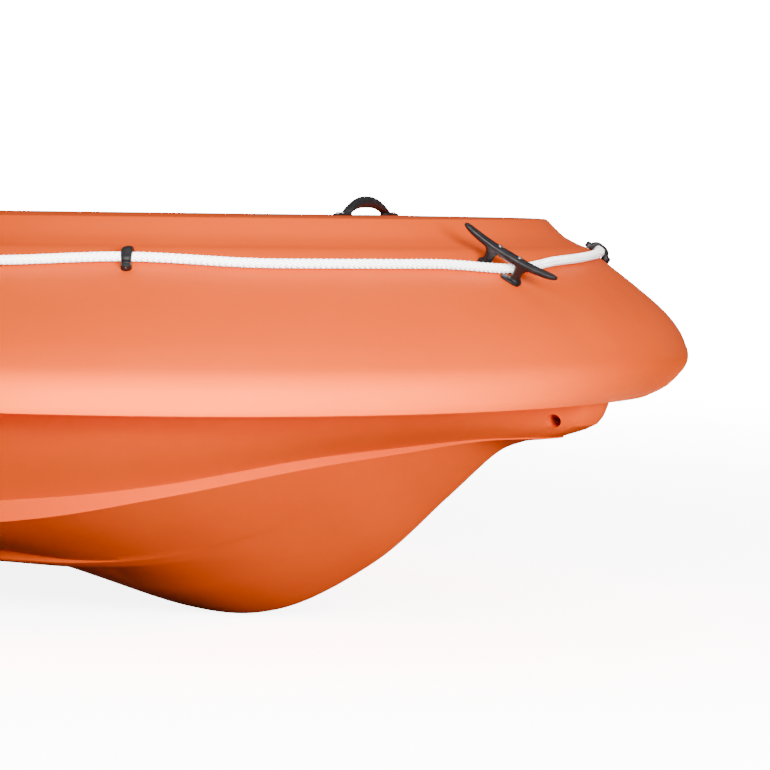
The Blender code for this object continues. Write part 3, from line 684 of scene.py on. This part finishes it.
def grip_panel(name, front, back, half, height):
    """A raised panel of short moulded bars set alternately across, on a thin pad."""
    rings = []
    for inset, z in ((0.0, -0.0006), (0.0, 0.0008), (0.0012, GRIP_RISE)):
        ring = rounded_outline(front - inset, back + inset, half - inset, corner=GRIP_CORNER - inset)
        rings.append([(x, y, height + z) for x, y in ring])
    pieces = [loft("pad", rings, GRIP)]
    vertices, faces = [], []
    rows = int((front - back - 2.0 * GRIP_MARGIN) / GRIP_PITCH)
    columns = int((2.0 * half - 2.0 * GRIP_MARGIN) / GRIP_PITCH)
    x0 = 0.5 * (front + back) - 0.5 * (rows - 1) * GRIP_PITCH
    y0 = -0.5 * (columns - 1) * GRIP_PITCH
    top = height + GRIP_RISE
    for i in range(rows):
        for j in range(columns):
            x, y = x0 + i * GRIP_PITCH, y0 + j * GRIP_PITCH
            inside_x = 0.5 * (front - back) - GRIP_MARGIN - abs(x - 0.5 * (front + back))
            inside_y = half - GRIP_MARGIN - abs(y)
            if inside_x + inside_y < 0.7 * GRIP_CORNER:
                continue
            turn = math.radians(45.0 if (i + j) % 2 else -45.0)
            c, s = math.cos(turn), math.sin(turn)
            base = len(vertices)
            for length, width, up in ((0.0066, 0.0022, -0.0004), (0.0062, 0.0019, 0.0006), (0.0048, 0.0010, 0.0012)):
                for k in range(8):
                    a = math.radians(22.5 + 45.0 * k)
                    u = length * math.cos(a)
                    v = width * math.sin(a)
                    vertices.append((x + c * u - s * v, y + s * u + c * v, top + up))
            for ring in (0, 8):
                faces += [
                    (base + ring + k, base + ring + (k + 1) % 8, base + ring + 8 + (k + 1) % 8, base + ring + 8 + k)
                    for k in range(8)
                ]
            faces.append(tuple(base + 16 + k for k in range(8)))
    pieces.append(build("bars", vertices, faces, GRIP, smooth=60.0))
    return gather(name, pieces)


def make_sole():
    outline = rounded_outline(STEP_X, TRANSOM_X + TRANSOM_THICKNESS, COCKPIT_HALF, inset=GAP)
    sole = prism("sole_skin", outline, SOLE_HEIGHT - SOLE_THICKNESS, SOLE_HEIGHT, ORANGE)
    show(sole, "polyethylene", "cockpit_sole")
    half = 0.5 * (COCKPIT_HALF - 0.045 - SOLE_SEAM)
    fields = (("forward", STEP_X - 0.050, THWART[0] + 0.035), ("aft", THWART[1] - 0.035, BENCH_X + 0.050))
    for word, front, back in fields:
        for side, hand in SIDES:
            panel = grip_panel(f"sole_grip_{word}_{hand}", front, back, half, SOLE_HEIGHT)
            panel.data.transform(moved(0.0, side * (SOLE_SEAM + half), 0.0))
            show(panel, "polyethylene")


def make_seats():
    front, back = THWART
    half = COCKPIT_HALF - GAP
    outline = rounded_outline(front, back, half, corner=0.004, steps=2)
    thwart = prism("thwart_skin", outline, SOLE_HEIGHT + GAP, THWART_HEIGHT, ORANGE)
    soften(thwart, 0.018, 6, 60.0)
    show(thwart, "polyethylene", "centre_thwart")
    show(grip_panel("thwart_grip", front - 0.035, back + 0.035, half - 0.060, THWART_HEIGHT), "polyethylene")
    rear = TRANSOM_X + TRANSOM_THICKNESS
    outline = rounded_outline(BENCH_X, rear, COCKPIT_HALF, inset=GAP, front_corner=0.006)
    bench = prism("bench_skin", outline, SOLE_HEIGHT + GAP, BENCH_HEIGHT, ORANGE)
    soften(bench, 0.012, 5, 60.0)
    show(bench, "polyethylene", "stern_bench")
    panel = grip_panel("bench_grip", BENCH_X - 0.035, rear + 0.050, half - 0.060, BENCH_HEIGHT)
    show(panel, "polyethylene")


# Small fittings


def screw_mesh(radius):
    """A pan-head screw with a cross recess, standing on Z = 0."""
    profile = [(1.0, -0.10), (1.0, 0.10), (0.93, 0.24), (0.78, 0.36), (0.55, 0.45), (0.28, 0.50), (0.04, 0.51)]
    rings = [[(radius * r * x, radius * r * y, radius * z) for x, y in circle(1.0, 24)] for r, z in profile]
    head = loft("screw", rings, STEEL, smooth=50.0)
    cross = []
    for turn in (0.0, 90.0):
        arm = [(-0.55 * radius, -0.10 * radius), (0.55 * radius, -0.10 * radius),
               (0.55 * radius, 0.10 * radius), (-0.55 * radius, 0.10 * radius)]
        cross.append(prism("arm", arm, 0.20 * radius, radius, STEEL, turned(turn, "Z")))
    carve(head, *cross)
    shade(head, 40.0)
    mesh = head.data
    drop(head)
    return mesh


def screws(name, frames, radius, body="boat"):
    """Screw heads at frames, each turned its own way, as one piece."""
    mesh = screw_mesh(radius)
    turns = random.Random(len(frames) * 7 + int(radius * 1e5))
    heads = []
    for place in frames:
        head = bpy.data.objects.new("head", mesh.copy())
        head.data.transform(place @ Matrix.Rotation(turns.uniform(0.0, math.pi), 4, "Z"))
        put_in_scene(head)
        heads.append(head)
    piece = gather(name, heads)
    shade(piece, 40.0)
    return show(piece, "steel", body=body)


def oval(width, height, sides, power=2.6):
    """A rounded oval ring of points."""
    points = []
    for k in range(sides):
        turn = 2.0 * math.pi * k / sides
        c, s = math.cos(turn), math.sin(turn)
        points.append((
            0.5 * width * math.copysign(abs(c) ** (2.0 / power), c),
            0.5 * height * math.copysign(abs(s) ** (2.0 / power), s),
        ))
    return points


def swept(name, path, widths, thicknesses, finish, sides=20):
    """A bar along a path in Y and Z, its width across X, its thickness square to the path."""
    rings = []
    for k, (y, z) in enumerate(path):
        before = path[max(k - 1, 0)]
        after = path[min(k + 1, len(path) - 1)]
        length = math.hypot(after[0] - before[0], after[1] - before[1])
        ty, tz = (after[0] - before[0]) / length, (after[1] - before[1]) / length
        rings.append([(u, y - v * tz, z + v * ty) for u, v in oval(widths[k], thicknesses[k], sides)])
    return loft(name, rings, finish, smooth=60.0)


def foot_pad(name, y, length, width, thickness, finish, place=None):
    """A domed foot with rounded ends, standing on Z = 0 and centred at y."""
    rings = []
    for scale, z in ((1.0, 0.0), (1.0, 0.45), (0.96, 0.75), (0.86, 0.95), (0.6, 1.04), (0.1, 1.07)):
        rings.append([(u * scale, y + v * scale, z * thickness) for u, v in oval(width, length, 28)])
    return loft(name, rings, finish, place, smooth=60.0)


def make_eye(name, place, node):
    """A moulded eye with rounded feet that the rope runs through, in a frame whose Y it spans."""
    span, _, bar, foot, width = HOLDER
    outer = 0.5 * span + 0.0012
    radius = 0.5 * bar
    path, widths, bars = [], [], []
    for k in range(33):
        turn = math.pi * k / 32
        y = -(outer - radius) * math.copysign(abs(math.cos(turn)) ** 0.8, math.cos(turn))
        z = (EYE_HEIGHT - radius) * math.sin(turn) ** 0.62 if math.sin(turn) > 1e-6 else 0.0
        path.append((y, z))
        widths.append(width * (0.92 - 0.10 * abs(math.cos(turn)) ** 2))
        bars.append(bar * (0.75 + 0.60 * abs(math.cos(turn)) ** 1.5))
    pieces = [swept("bow", path, widths, bars, NYLON)]
    for side in (-1, 1):
        centre = side * (outer + 0.5 * foot - 0.5 * bar - 0.002)
        pieces.append(foot_pad("foot", centre, foot + bar - 0.003, 0.90 * width, 0.0084, NYLON))
    body = moulded(name, pieces, 0.0008)
    body.data.transform(place)
    return show(body, "nylon", node)


def make_handle(name, place, node):
    """A moulded carry handle: a bowed grip, thick in the middle, on two thin foot plates."""
    span, height, grip, foot, width = HANDLE
    outer = 0.5 * span
    plate = 0.0030
    path, widths, bars = [], [], []
    for k in range(49):
        s = -1.0 + k / 24.0
        thick = plate + (1.22 * grip - plate) * (1.0 - abs(s) ** 2.0)
        top = 1.2 * plate + (height - 1.2 * plate) * (1.0 - abs(s) ** 2.2)
        path.append((s * (outer - 0.002), top - 0.5 * thick))
        widths.append(width * (0.78 + 0.12 * abs(s) ** 3))
        bars.append(thick)
    pieces = [swept("grip", path, widths, bars, NYLON, sides=24)]
    for side in (-1, 1):
        centre = side * (outer + 0.5 * foot - 0.007)
        pieces.append(foot_pad("foot", centre, foot + 0.014, width, plate, NYLON))
    body = moulded(name, pieces, 0.0010)
    body.data.transform(place)
    return show(body, "nylon", node)


def make_fittings():
    heads, small = [], []
    place = skin_frame(station_at(BOW_HOLDER_ANGLE), BOW_HOLDER_OFFSET, 1)
    holders = [("lifeline_holder_bow", place)]
    for side, word in SIDES:
        for number, where in enumerate(HOLDER_PLACES, 1):
            holders.append((f"lifeline_holder_{word}_{number}", skin_frame(station_at(where), HOLDER_OFFSET, side)))
    for node, place in holders:
        make_eye(f"{node}_skin", place, node)
        for side in (-1, 1):
            small.append(place @ moved(0.0, side * (0.5 * HOLDER[0] + 0.58 * HOLDER[3]), 0.0056))
    base = moved(HANDLE_X, 0.0, crest_height(HANDLE_X) + FOREDECK_CROWN)
    handles = [("bow_handle", base)]
    for side, word in SIDES:
        handles.append((f"stern_handle_{word}", crest_frame(STERN_HANDLE_X, side) @ turned(90.0, "Z")))
    for node, place in handles:
        make_handle(f"{node}_skin", place, node)
        for side in (-1, 1):
            for share in (0.28, 0.74):
                heads.append(place @ moved(0.0, side * (0.5 * HANDLE[0] + share * HANDLE[3]), 0.0031))
    screws("screws_small", small, EYE_SCREW)
    screws("screws", heads, FITTING_SCREW)


def make_cleat():
    """A moulded open-base cleat: drooping horns on two flared legs with a screw in each foot."""
    half = 0.5 * CLEAT_LENGTH
    place = skin_frame(station_at(CLEAT_ANGLE), CLEAT_OFFSET, -1) @ turned(CLEAT_TURN, "Z")
    path, widths, bars = [], [], []
    for k in range(41):
        s = -1.0 + k / 20.0
        path.append((s * (half - 0.002), 0.0275 + 0.0085 * abs(s) ** 2.2))
        taper = max(1.0 - abs(s) ** 14.0, 0.0) ** 0.5
        widths.append((0.0165 - 0.0045 * abs(s)) * max(taper, 0.45))
        bars.append((0.0125 - 0.0045 * abs(s)) * max(taper, 0.45))
    pieces = [swept("horn", path, widths, bars, NYLON, sides=24)]
    for side in (-1, 1):
        rings = []
        for z, y, length, width in (
            (0.000, 0.0238, 0.0180, 0.0180),
            (0.0034, 0.0238, 0.0176, 0.0176),
            (0.0054, 0.0228, 0.0150, 0.0160),
            (0.0090, 0.0218, 0.0130, 0.0146),
            (0.0160, 0.0216, 0.0132, 0.0144),
            (0.0220, 0.0222, 0.0180, 0.0148),
            (0.0285, 0.0232, 0.0300, 0.0156),
        ):
            rings.append([(u, side * y + v, z) for u, v in oval(width, length, 24)])
        pieces.append(loft("leg", rings, NYLON, smooth=60.0))
        beside = moved(side * 0.0050, 0.0, 0.0)
        pieces.append(foot_pad("flange", side * 0.0178, 0.0285, 0.0150, 0.0034, NYLON, beside))
    body = moulded("cleat_skin", pieces, 0.0009)
    body.data.transform(place)
    show(body, "nylon", "bow_cleat")
    heads = [place @ moved(0.0, side * 0.0150, 0.0338) for side in (-1, 1)]
    screws("cleat_screws", heads, CLEAT_SCREW)


# The lifeline


def along_plan(station):
    centre, out_x, out_y = station
    return CREST_RADIUS * math.atan2(out_y, out_x) - centre


def rope_offset(distance, side):
    """How far outboard the rope lies: high in its eyes and lower between them."""
    supports = [(along_plan(station_at(place)), HOLDER_OFFSET, ROPE_RUN) for place in HOLDER_PLACES]
    bow = side * along_plan(station_at(BOW_HOLDER_ANGLE))
    supports.append((bow, BOW_HOLDER_OFFSET, BOW_ROPE_RUN))
    rise = 0.0
    for centre, offset, run in supports:
        near = 1.0 - min(abs(distance - centre) / run, 1.0)
        rise = max(rise, (ROPE_OFFSET - offset) * near * near * (3.0 - 2.0 * near))
    near = 1.0 - min(abs(distance + side * along_plan(station_at(DIP_ANGLE))) / DIP_RUN, 1.0)
    return ROPE_OFFSET - rise + ROPE_DIP * near * near * (3.0 - 2.0 * near)


def rope_route():
    last = along_plan(station_at(HOLDER_PLACES[-1])) + ROPE_TAIL
    corner = 0.5 * math.pi * CREST_RADIUS
    steps = 620
    points = []
    for k in range(-steps, steps + 1):
        side = -1 if k < 0 else 1
        distance = abs(k) / steps * last
        if distance < corner:
            station = station_at(math.degrees(distance / CREST_RADIUS))
        else:
            station = (corner - distance, 0.0, 1.0)
        lift = 0.5 * ROPE_DIAMETER + ROPE_LIFT
        points.append(skin_frame(station, rope_offset(distance, side), side, lift).translation)
    smooth = points
    for _ in range(12):
        inner = [(a + 2.0 * b + c) / 4.0 for a, b, c in zip(smooth, smooth[1:], smooth[2:])]
        smooth = [smooth[0]] + inner + [smooth[-1]]
    return smooth


def evenly(points, step):
    """The points spaced again at equal steps along their line."""
    spaced = [points[0]]
    left = step
    for a, b in zip(points, points[1:]):
        run = (b - a).length
        at = left
        while at <= run:
            spaced.append(a.lerp(b, at / run))
            at += step
        left = at - run
    return spaced


def rope_tube(name, points, radius, sides=16):
    """A braided tube along points, its length and turn kept in a UV map."""
    points = evenly(points, STRAND_STEP / 6.0)
    rings, lengths = [], []
    travelled = 0.0
    normal = Vector((0.0, 0.0, 1.0))
    for k, point in enumerate(points):
        ahead = points[min(k + 1, len(points) - 1)] - points[max(k - 1, 0)]
        ahead.normalize()
        normal = (normal - ahead * normal.dot(ahead)).normalized()
        side = ahead.cross(normal)
        if k:
            travelled += (point - points[k - 1]).length
        edge = min(travelled, 0.004) / 0.004
        size = radius * (0.72 + 0.28 * math.sin(0.5 * math.pi * edge))
        swell = 0.11 * math.cos(2.0 * math.pi * travelled / STRAND_STEP)
        ring = []
        for i in range(sides):
            turn = 2.0 * math.pi * i / sides
            reach = size * (1.0 + (swell if i % 2 else -swell))
            ring.append(point + reach * (normal * math.cos(turn) + side * math.sin(turn)))
        rings.append(ring)
        lengths.append(travelled)
    mesh = bpy.data.meshes.new(name)
    vertices = [v for ring in rings for v in ring]
    faces = [tuple(reversed(range(sides))), tuple(range(len(vertices) - sides, len(vertices)))]
    for k in range(len(rings) - 1):
        a = k * sides
        faces += [(a + i, a + (i + 1) % sides, a + sides + (i + 1) % sides, a + sides + i) for i in range(sides)]
    mesh.from_pydata(vertices, [], faces)
    layer = mesh.uv_layers.new(name="along")
    for polygon in mesh.polygons:
        for loop in polygon.loop_indices:
            index = mesh.loops[loop].vertex_index
            ring, turn = divmod(index, sides)
            if len(polygon.vertices) == 4:
                low = min(v % sides for v in polygon.vertices)
                wraps = low == 0 and max(v % sides for v in polygon.vertices) == sides - 1
                turn = sides if wraps and turn == 0 else turn
            layer.data[loop].uv = (lengths[ring], turn / sides)
    mesh.materials.append(ROPE)
    piece = bpy.data.objects.new(name, mesh)
    put_in_scene(piece)
    shade(piece, 70.0)
    return piece


def make_rope():
    points = rope_route()
    show(rope_tube("lifeline_braid", points, 0.5 * ROPE_DIAMETER), "rope", "lifeline")
    for word, end, inner in (("starboard", points[0], points[4]), ("port", points[-1], points[-5])):
        ahead = (end - inner).normalized()
        outward = Vector((0.0, math.copysign(1.0, end.y), 0.0))
        across = ahead.cross(outward).normalized()
        centre = end - ahead * 0.022 + outward * 0.002
        knot = []
        for k in range(121):
            t = 2.0 * math.pi * k / 120
            x = math.sin(t) + 2.0 * math.sin(2.0 * t)
            y = math.cos(t) - 2.0 * math.cos(2.0 * t)
            z = -math.sin(3.0 * t)
            knot.append(centre + (across * x + outward * y * 0.55) * KNOT_SIZE + ahead * z * KNOT_LENGTH)
        show(rope_tube(f"lifeline_knot_{word}", knot, 0.45 * ROPE_DIAMETER), "rope")


# Rowlocks, motor board, drain and lid


def make_rowlocks():
    heads = []
    for side, word in SIDES:
        seat = crest_frame(ROWLOCK_X, side)
        rings = []
        for z, length, width in (
            (0.0, 0.090, 0.044), (0.0050, 0.090, 0.044), (0.0075, 0.084, 0.040), (0.0100, 0.052, 0.034),
            (0.0160, 0.036, 0.030), (0.0260, 0.031, 0.028), (0.0290, 0.029, 0.026), (0.0300, 0.025, 0.022),
        ):
            rings.append([(u, v, z) for u, v in oval(length, width, 40, 3.2 if z < 0.009 else 2.2)])
        socket = loft("socket", rings, NYLON, smooth=60.0)
        hole = prism("hole", circle(ROWLOCK_HOLE, 32), 0.004, 0.1, NYLON)
        carve(socket, hole)
        shade(socket, 35.0)
        socket.data.transform(seat)
        socket.name = f"rowlock_socket_{word}_skin"
        show(socket, "nylon", f"rowlock_socket_{word}")
        for x in (-0.036, 0.036):
            heads.append(seat @ moved(x, 0.0, 0.0072))
        pivot = seat @ moved(0.0, 0.0, SOCKET_HEIGHT + 0.0005)
        path, widths, bars = [], [], []
        for k in range(49):
            turn = math.radians(-240.0 + 300.0 * k / 48)
            path.append((ROWLOCK_HORN * math.cos(turn), ROWLOCK_MIDDLE + ROWLOCK_HORN * math.sin(turn)))
            end = min(k, 48 - k) / 4.0
            size = 0.55 + 0.45 * math.sin(0.5 * math.pi * min(end, 1.0))
            widths.append(0.0150 * size)
            bars.append(0.0115 * size)
        crutch = swept("crutch", path, widths, bars, STEEL, sides=24)
        profile = (
            (-0.0240, 0.0050), (-0.0230, 0.0060), (0.0, 0.0060), (0.0, 0.0105),
            (0.0040, 0.0110), (0.0080, 0.0085), (0.0125, 0.0070),
        )
        rings = [[(u, v, z) for u, v in circle(r, 24)] for z, r in profile]
        stem = loft("stem", rings, STEEL, smooth=50.0)
        rowlock = gather(f"rowlock_{word}_skin", [crutch, stem])
        shade(rowlock, 50.0)
        rowlock.data.transform(pivot)
        show(rowlock, "steel", f"rowlock_{word}", body=f"rowlock_{word}")
    screws("rowlock_screws", heads, FITTING_SCREW)


def make_motor_board():
    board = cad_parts["transom"]
    board.data.materials[0] = ORANGE
    heads = []
    for word, depth, half, low, face in (
        ("outer", -GAP - 0.012, 0.150, 0.250, -1.0),
        ("inner", TRANSOM_THICKNESS + GAP + 0.012, 0.105, BENCH_HEIGHT + 0.004, 1.0),
    ):
        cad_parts[f"motor_pad_{word}"].data.materials[0] = NYLON
        high = MOTOR_MOUNT_HEIGHT - 0.008
        turn = turned(90.0 * face, "Y")
        for y in (-half + SCREW_INSET, half - SCREW_INSET):
            for z in (low + SCREW_INSET, high - SCREW_INSET):
                heads.append(moved(TRANSOM_X + depth, y, z) @ turn)
    screws("motor_pad_screws", heads, PAD_SCREW)
    flange = []
    for k in range(3):
        turn = math.radians(30.0 + 120.0 * k)
        y, z = (middle + DRAIN_SCREW_CIRCLE * part(turn) for middle, part in zip(DRAIN, (math.cos, math.sin)))
        place = moved(TRANSOM_X - GAP - 0.005, y, z)
        flange.append(place @ turned(-90.0, "Y"))
    screws("drain_screws", flange, SMALL_SCREW)
    for node in ("drain_flange", "drain_bung", "bow_locker_hinge"):
        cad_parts[node].data.materials[0] = NYLON


def make_stern_eyes():
    """Stainless U-bolts on backing plates."""
    for side, word in SIDES:
        place = moved(TRANSOM_X - GAP, side * STERN_EYE[0], STERN_EYE[1]) @ turned(-90.0, "Y")
        path = []
        for k in range(33):
            turn = math.pi * k / 32
            y = -STERN_EYE_HALF * math.cos(turn)
            z = 0.028 * math.sin(turn) ** 0.55 if 0 < k < 32 else 0.0
            path.append((y, z))
        bolt = swept("bolt", path, [0.008] * 33, [0.008] * 33, STEEL, sides=20)
        plate = foot_pad("plate", 0.0, 0.074, 0.020, 0.003, STEEL)
        nuts = [
            prism("nut", circle(0.0075, 6, 0.0, y), 0.002, 0.0075, STEEL)
            for y in (-STERN_EYE_HALF, STERN_EYE_HALF)
        ]
        eye = gather(f"stern_eye_{word}_skin", [bolt, plate] + nuts)
        shade(eye, 40.0)
        eye.data.transform(place)
        show(eye, "steel", f"stern_eye_{word}")


def make_lid():
    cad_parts["bow_locker_lid"].data.materials[0] = ORANGE
    front, back, half = LOCKER
    edge = front + LID_LAP
    top = step_height()
    panel = grip_panel("lid_grip", edge - 0.045, back - LID_LAP + 0.050, half - 0.020, top)
    show(panel, "polyethylene", body="locker_lid")
    deck = crest_height(edge + 0.026) - COLLAR_DEPTH
    screws("hinge_screws", [moved(edge + 0.021, y, deck + 0.0036) for y in (-0.047, 0.047)], SMALL_SCREW)
    straps = [moved(edge - 0.010, y, top + 0.0025) for y in (-0.020, 0.020)]
    screws("lid_strap_screws", straps, SMALL_SCREW, body="locker_lid")


# Studio


def seen_white(nodes, links, lit, bright):
    """The pale studio shows bright to the camera and lights the boat with no more than its own shade."""
    path = nodes.new("ShaderNodeLightPath")
    mix = nodes.new("ShaderNodeMixShader")
    links.new(path.outputs["Is Camera Ray"], mix.inputs[0])
    links.new(lit, mix.inputs[1])
    links.new(bright, mix.inputs[2])
    return mix.outputs[0]


def make_floor():
    mesh = bpy.data.meshes.new("studio_floor")
    mesh.from_pydata([(-60, -60, 0), (60, -60, 0), (60, 60, 0), (-60, 60, 0)], [], [(0, 1, 2, 3)])
    floor = bpy.data.objects.new("studio_floor", mesh)
    n = Nodes("studio_floor")
    nodes, links = n.tree.nodes, n.tree.links
    away = n.add("ShaderNodeVectorMath", {0: n.place}, operation="LENGTH").outputs["Value"]
    glow = n.add("ShaderNodeEmission", {"Strength": n.span(away, 1.5, 7.0, FLOOR_GLOW, BACKDROP_GLOW)})
    pale = n.add("ShaderNodeBsdfDiffuse", {"Color": (FLOOR_GAIN, FLOOR_GAIN, FLOOR_GAIN, 1.0)})
    both = n.add("ShaderNodeAddShader", {0: pale.outputs[0], 1: glow.outputs[0]})
    dim = n.add("ShaderNodeBsdfDiffuse", {"Color": (FLOOR_SHADE, FLOOR_SHADE, FLOOR_SHADE, 1.0)})
    surface = seen_white(nodes, links, dim.outputs[0], both.outputs[0])
    links.new(surface, nodes["Material Output"].inputs["Surface"])
    mesh.materials.append(n.material)
    put_in_scene(floor)


def area_light(name, place, target, size, power):
    data = bpy.data.lights.new(name, "AREA")
    data.shape = "RECTANGLE"
    data.size, data.size_y = size
    data.energy = power
    lamp = bpy.data.objects.new(name, data)
    lamp.location = place
    lamp.rotation_euler = (Vector(target) - Vector(place)).to_track_quat("-Z", "Y").to_euler()
    lamp.visible_camera = False
    put_in_scene(lamp)
    return lamp


def receivers(name, *pieces):
    """The pieces that a lamp of their own shines on."""
    group = bpy.data.collections.new(name)
    for piece in pieces:
        group.objects.link(bpy.data.objects[piece])
    return group


def make_lights():
    world = bpy.data.worlds.new("studio")
    bpy.context.scene.world = world
    world.use_nodes = True
    nodes, links = world.node_tree.nodes, world.node_tree.links
    fill = nodes["Background"]
    backdrop = nodes.new("ShaderNodeBackground")
    for shader, strength in ((fill, WORLD_FILL), (backdrop, BACKDROP_GLOW)):
        shader.inputs["Color"].default_value = (1.0, 1.0, 1.0, 1.0)
        shader.inputs["Strength"].default_value = strength
    surface = seen_white(nodes, links, fill.outputs[0], backdrop.outputs[0])
    links.new(surface, nodes["World Output"].inputs["Surface"])
    area_light("front", (3.0, -5.5, 2.3), (0.7, -0.4, 0.35), (5.0, 1.6), 365.0)
    area_light("top", (1.0, -0.6, 5.0), (0.6, -0.2, 0.4), (6.0, 3.5), 70.0)
    bow = area_light("bow", (4.4, -3.0, 1.1), (1.1, -0.2, 0.30), (2.0, 1.0), 230.0)
    bow.visible_glossy = False
    keel = area_light("keel", (4.6, -1.5, 0.2), (0.55, -0.2, 0.2), (1.0, 0.4), 85.0)
    rope = area_light("rope", (2.2, -4.6, 1.4), (0.4, -0.6, 0.5), (2.4, 1.6), 1500.0)
    rope.light_linking.receiver_collection = receivers(
        "rope_light", "lifeline_braid", "lifeline_knot_starboard", "lifeline_knot_port"
    )
    keel.light_linking.receiver_collection = receivers("hull_light", "hull_skin")
    flank = receivers("flank_light", "collar_skin")
    for side in (-1, 1):
        low = [area_light(f"low_{side}", (-0.95, side * 0.86, 0.03), (-0.95, side * 0.76, 0.34), (2.9, 0.20), 52.0)]
        for number, (angle, length, power) in enumerate(((78.0, 0.30, 6.2), (54.0, 0.28, 5.2), (31.0, 0.26, 3.2))):
            out = Vector((math.cos(math.radians(angle)), side * math.sin(math.radians(angle)), 0.0))
            place = Vector((BOW_LAMP_X, 0.0, 0.03)) + out * (CREST_RADIUS + 0.344)
            aim = Vector((BOW_LAMP_X, 0.0, 0.34)) + out * (CREST_RADIUS + 0.244)
            low.append(area_light(f"low_bow_{number}_{side}", place, aim, (length, 0.20), power))
        for lamp in low:
            lamp.light_linking.receiver_collection = flank
            lamp.visible_glossy = False


def make_camera():
    across = BOW_PIXEL[0] - 0.5 * IMAGE_SIZE
    down = 0.5 * IMAGE_SIZE - BOW_PIXEL[1]
    heading = VIEW_ANGLE + math.atan(across / FOCAL_PIXELS)
    pitch = math.atan(down / FOCAL_PIXELS)
    ahead = Vector((-math.sin(heading) * math.cos(pitch), math.cos(heading) * math.cos(pitch), -math.sin(pitch)))
    right = ahead.cross(Vector((0.0, 0.0, 1.0))).normalized()
    up = right.cross(ahead)
    eye = Vector((VIEW_DISTANCE * math.sin(VIEW_ANGLE), -VIEW_DISTANCE * math.cos(VIEW_ANGLE), VIEW_HEIGHT))
    pose = Matrix.Identity(4)
    for row, values in enumerate(zip(right, up, -ahead, eye)):
        pose[row][:] = values
    data = bpy.data.cameras.new("camera")
    data.sensor_width = 36.0
    data.lens = FOCAL_PIXELS * 36.0 / IMAGE_SIZE
    data.clip_end = 200.0
    camera = bpy.data.objects.new("camera", data)
    camera.matrix_world = PARKED @ pose
    put_in_scene(camera)
    bpy.context.scene.camera = camera


make_collar()
make_hull()
make_foredeck()
make_sole()
make_seats()
make_fittings()
make_cleat()
make_rope()
make_rowlocks()
make_motor_board()
make_stern_eyes()
make_lid()
make_floor()
make_lights()
make_camera()
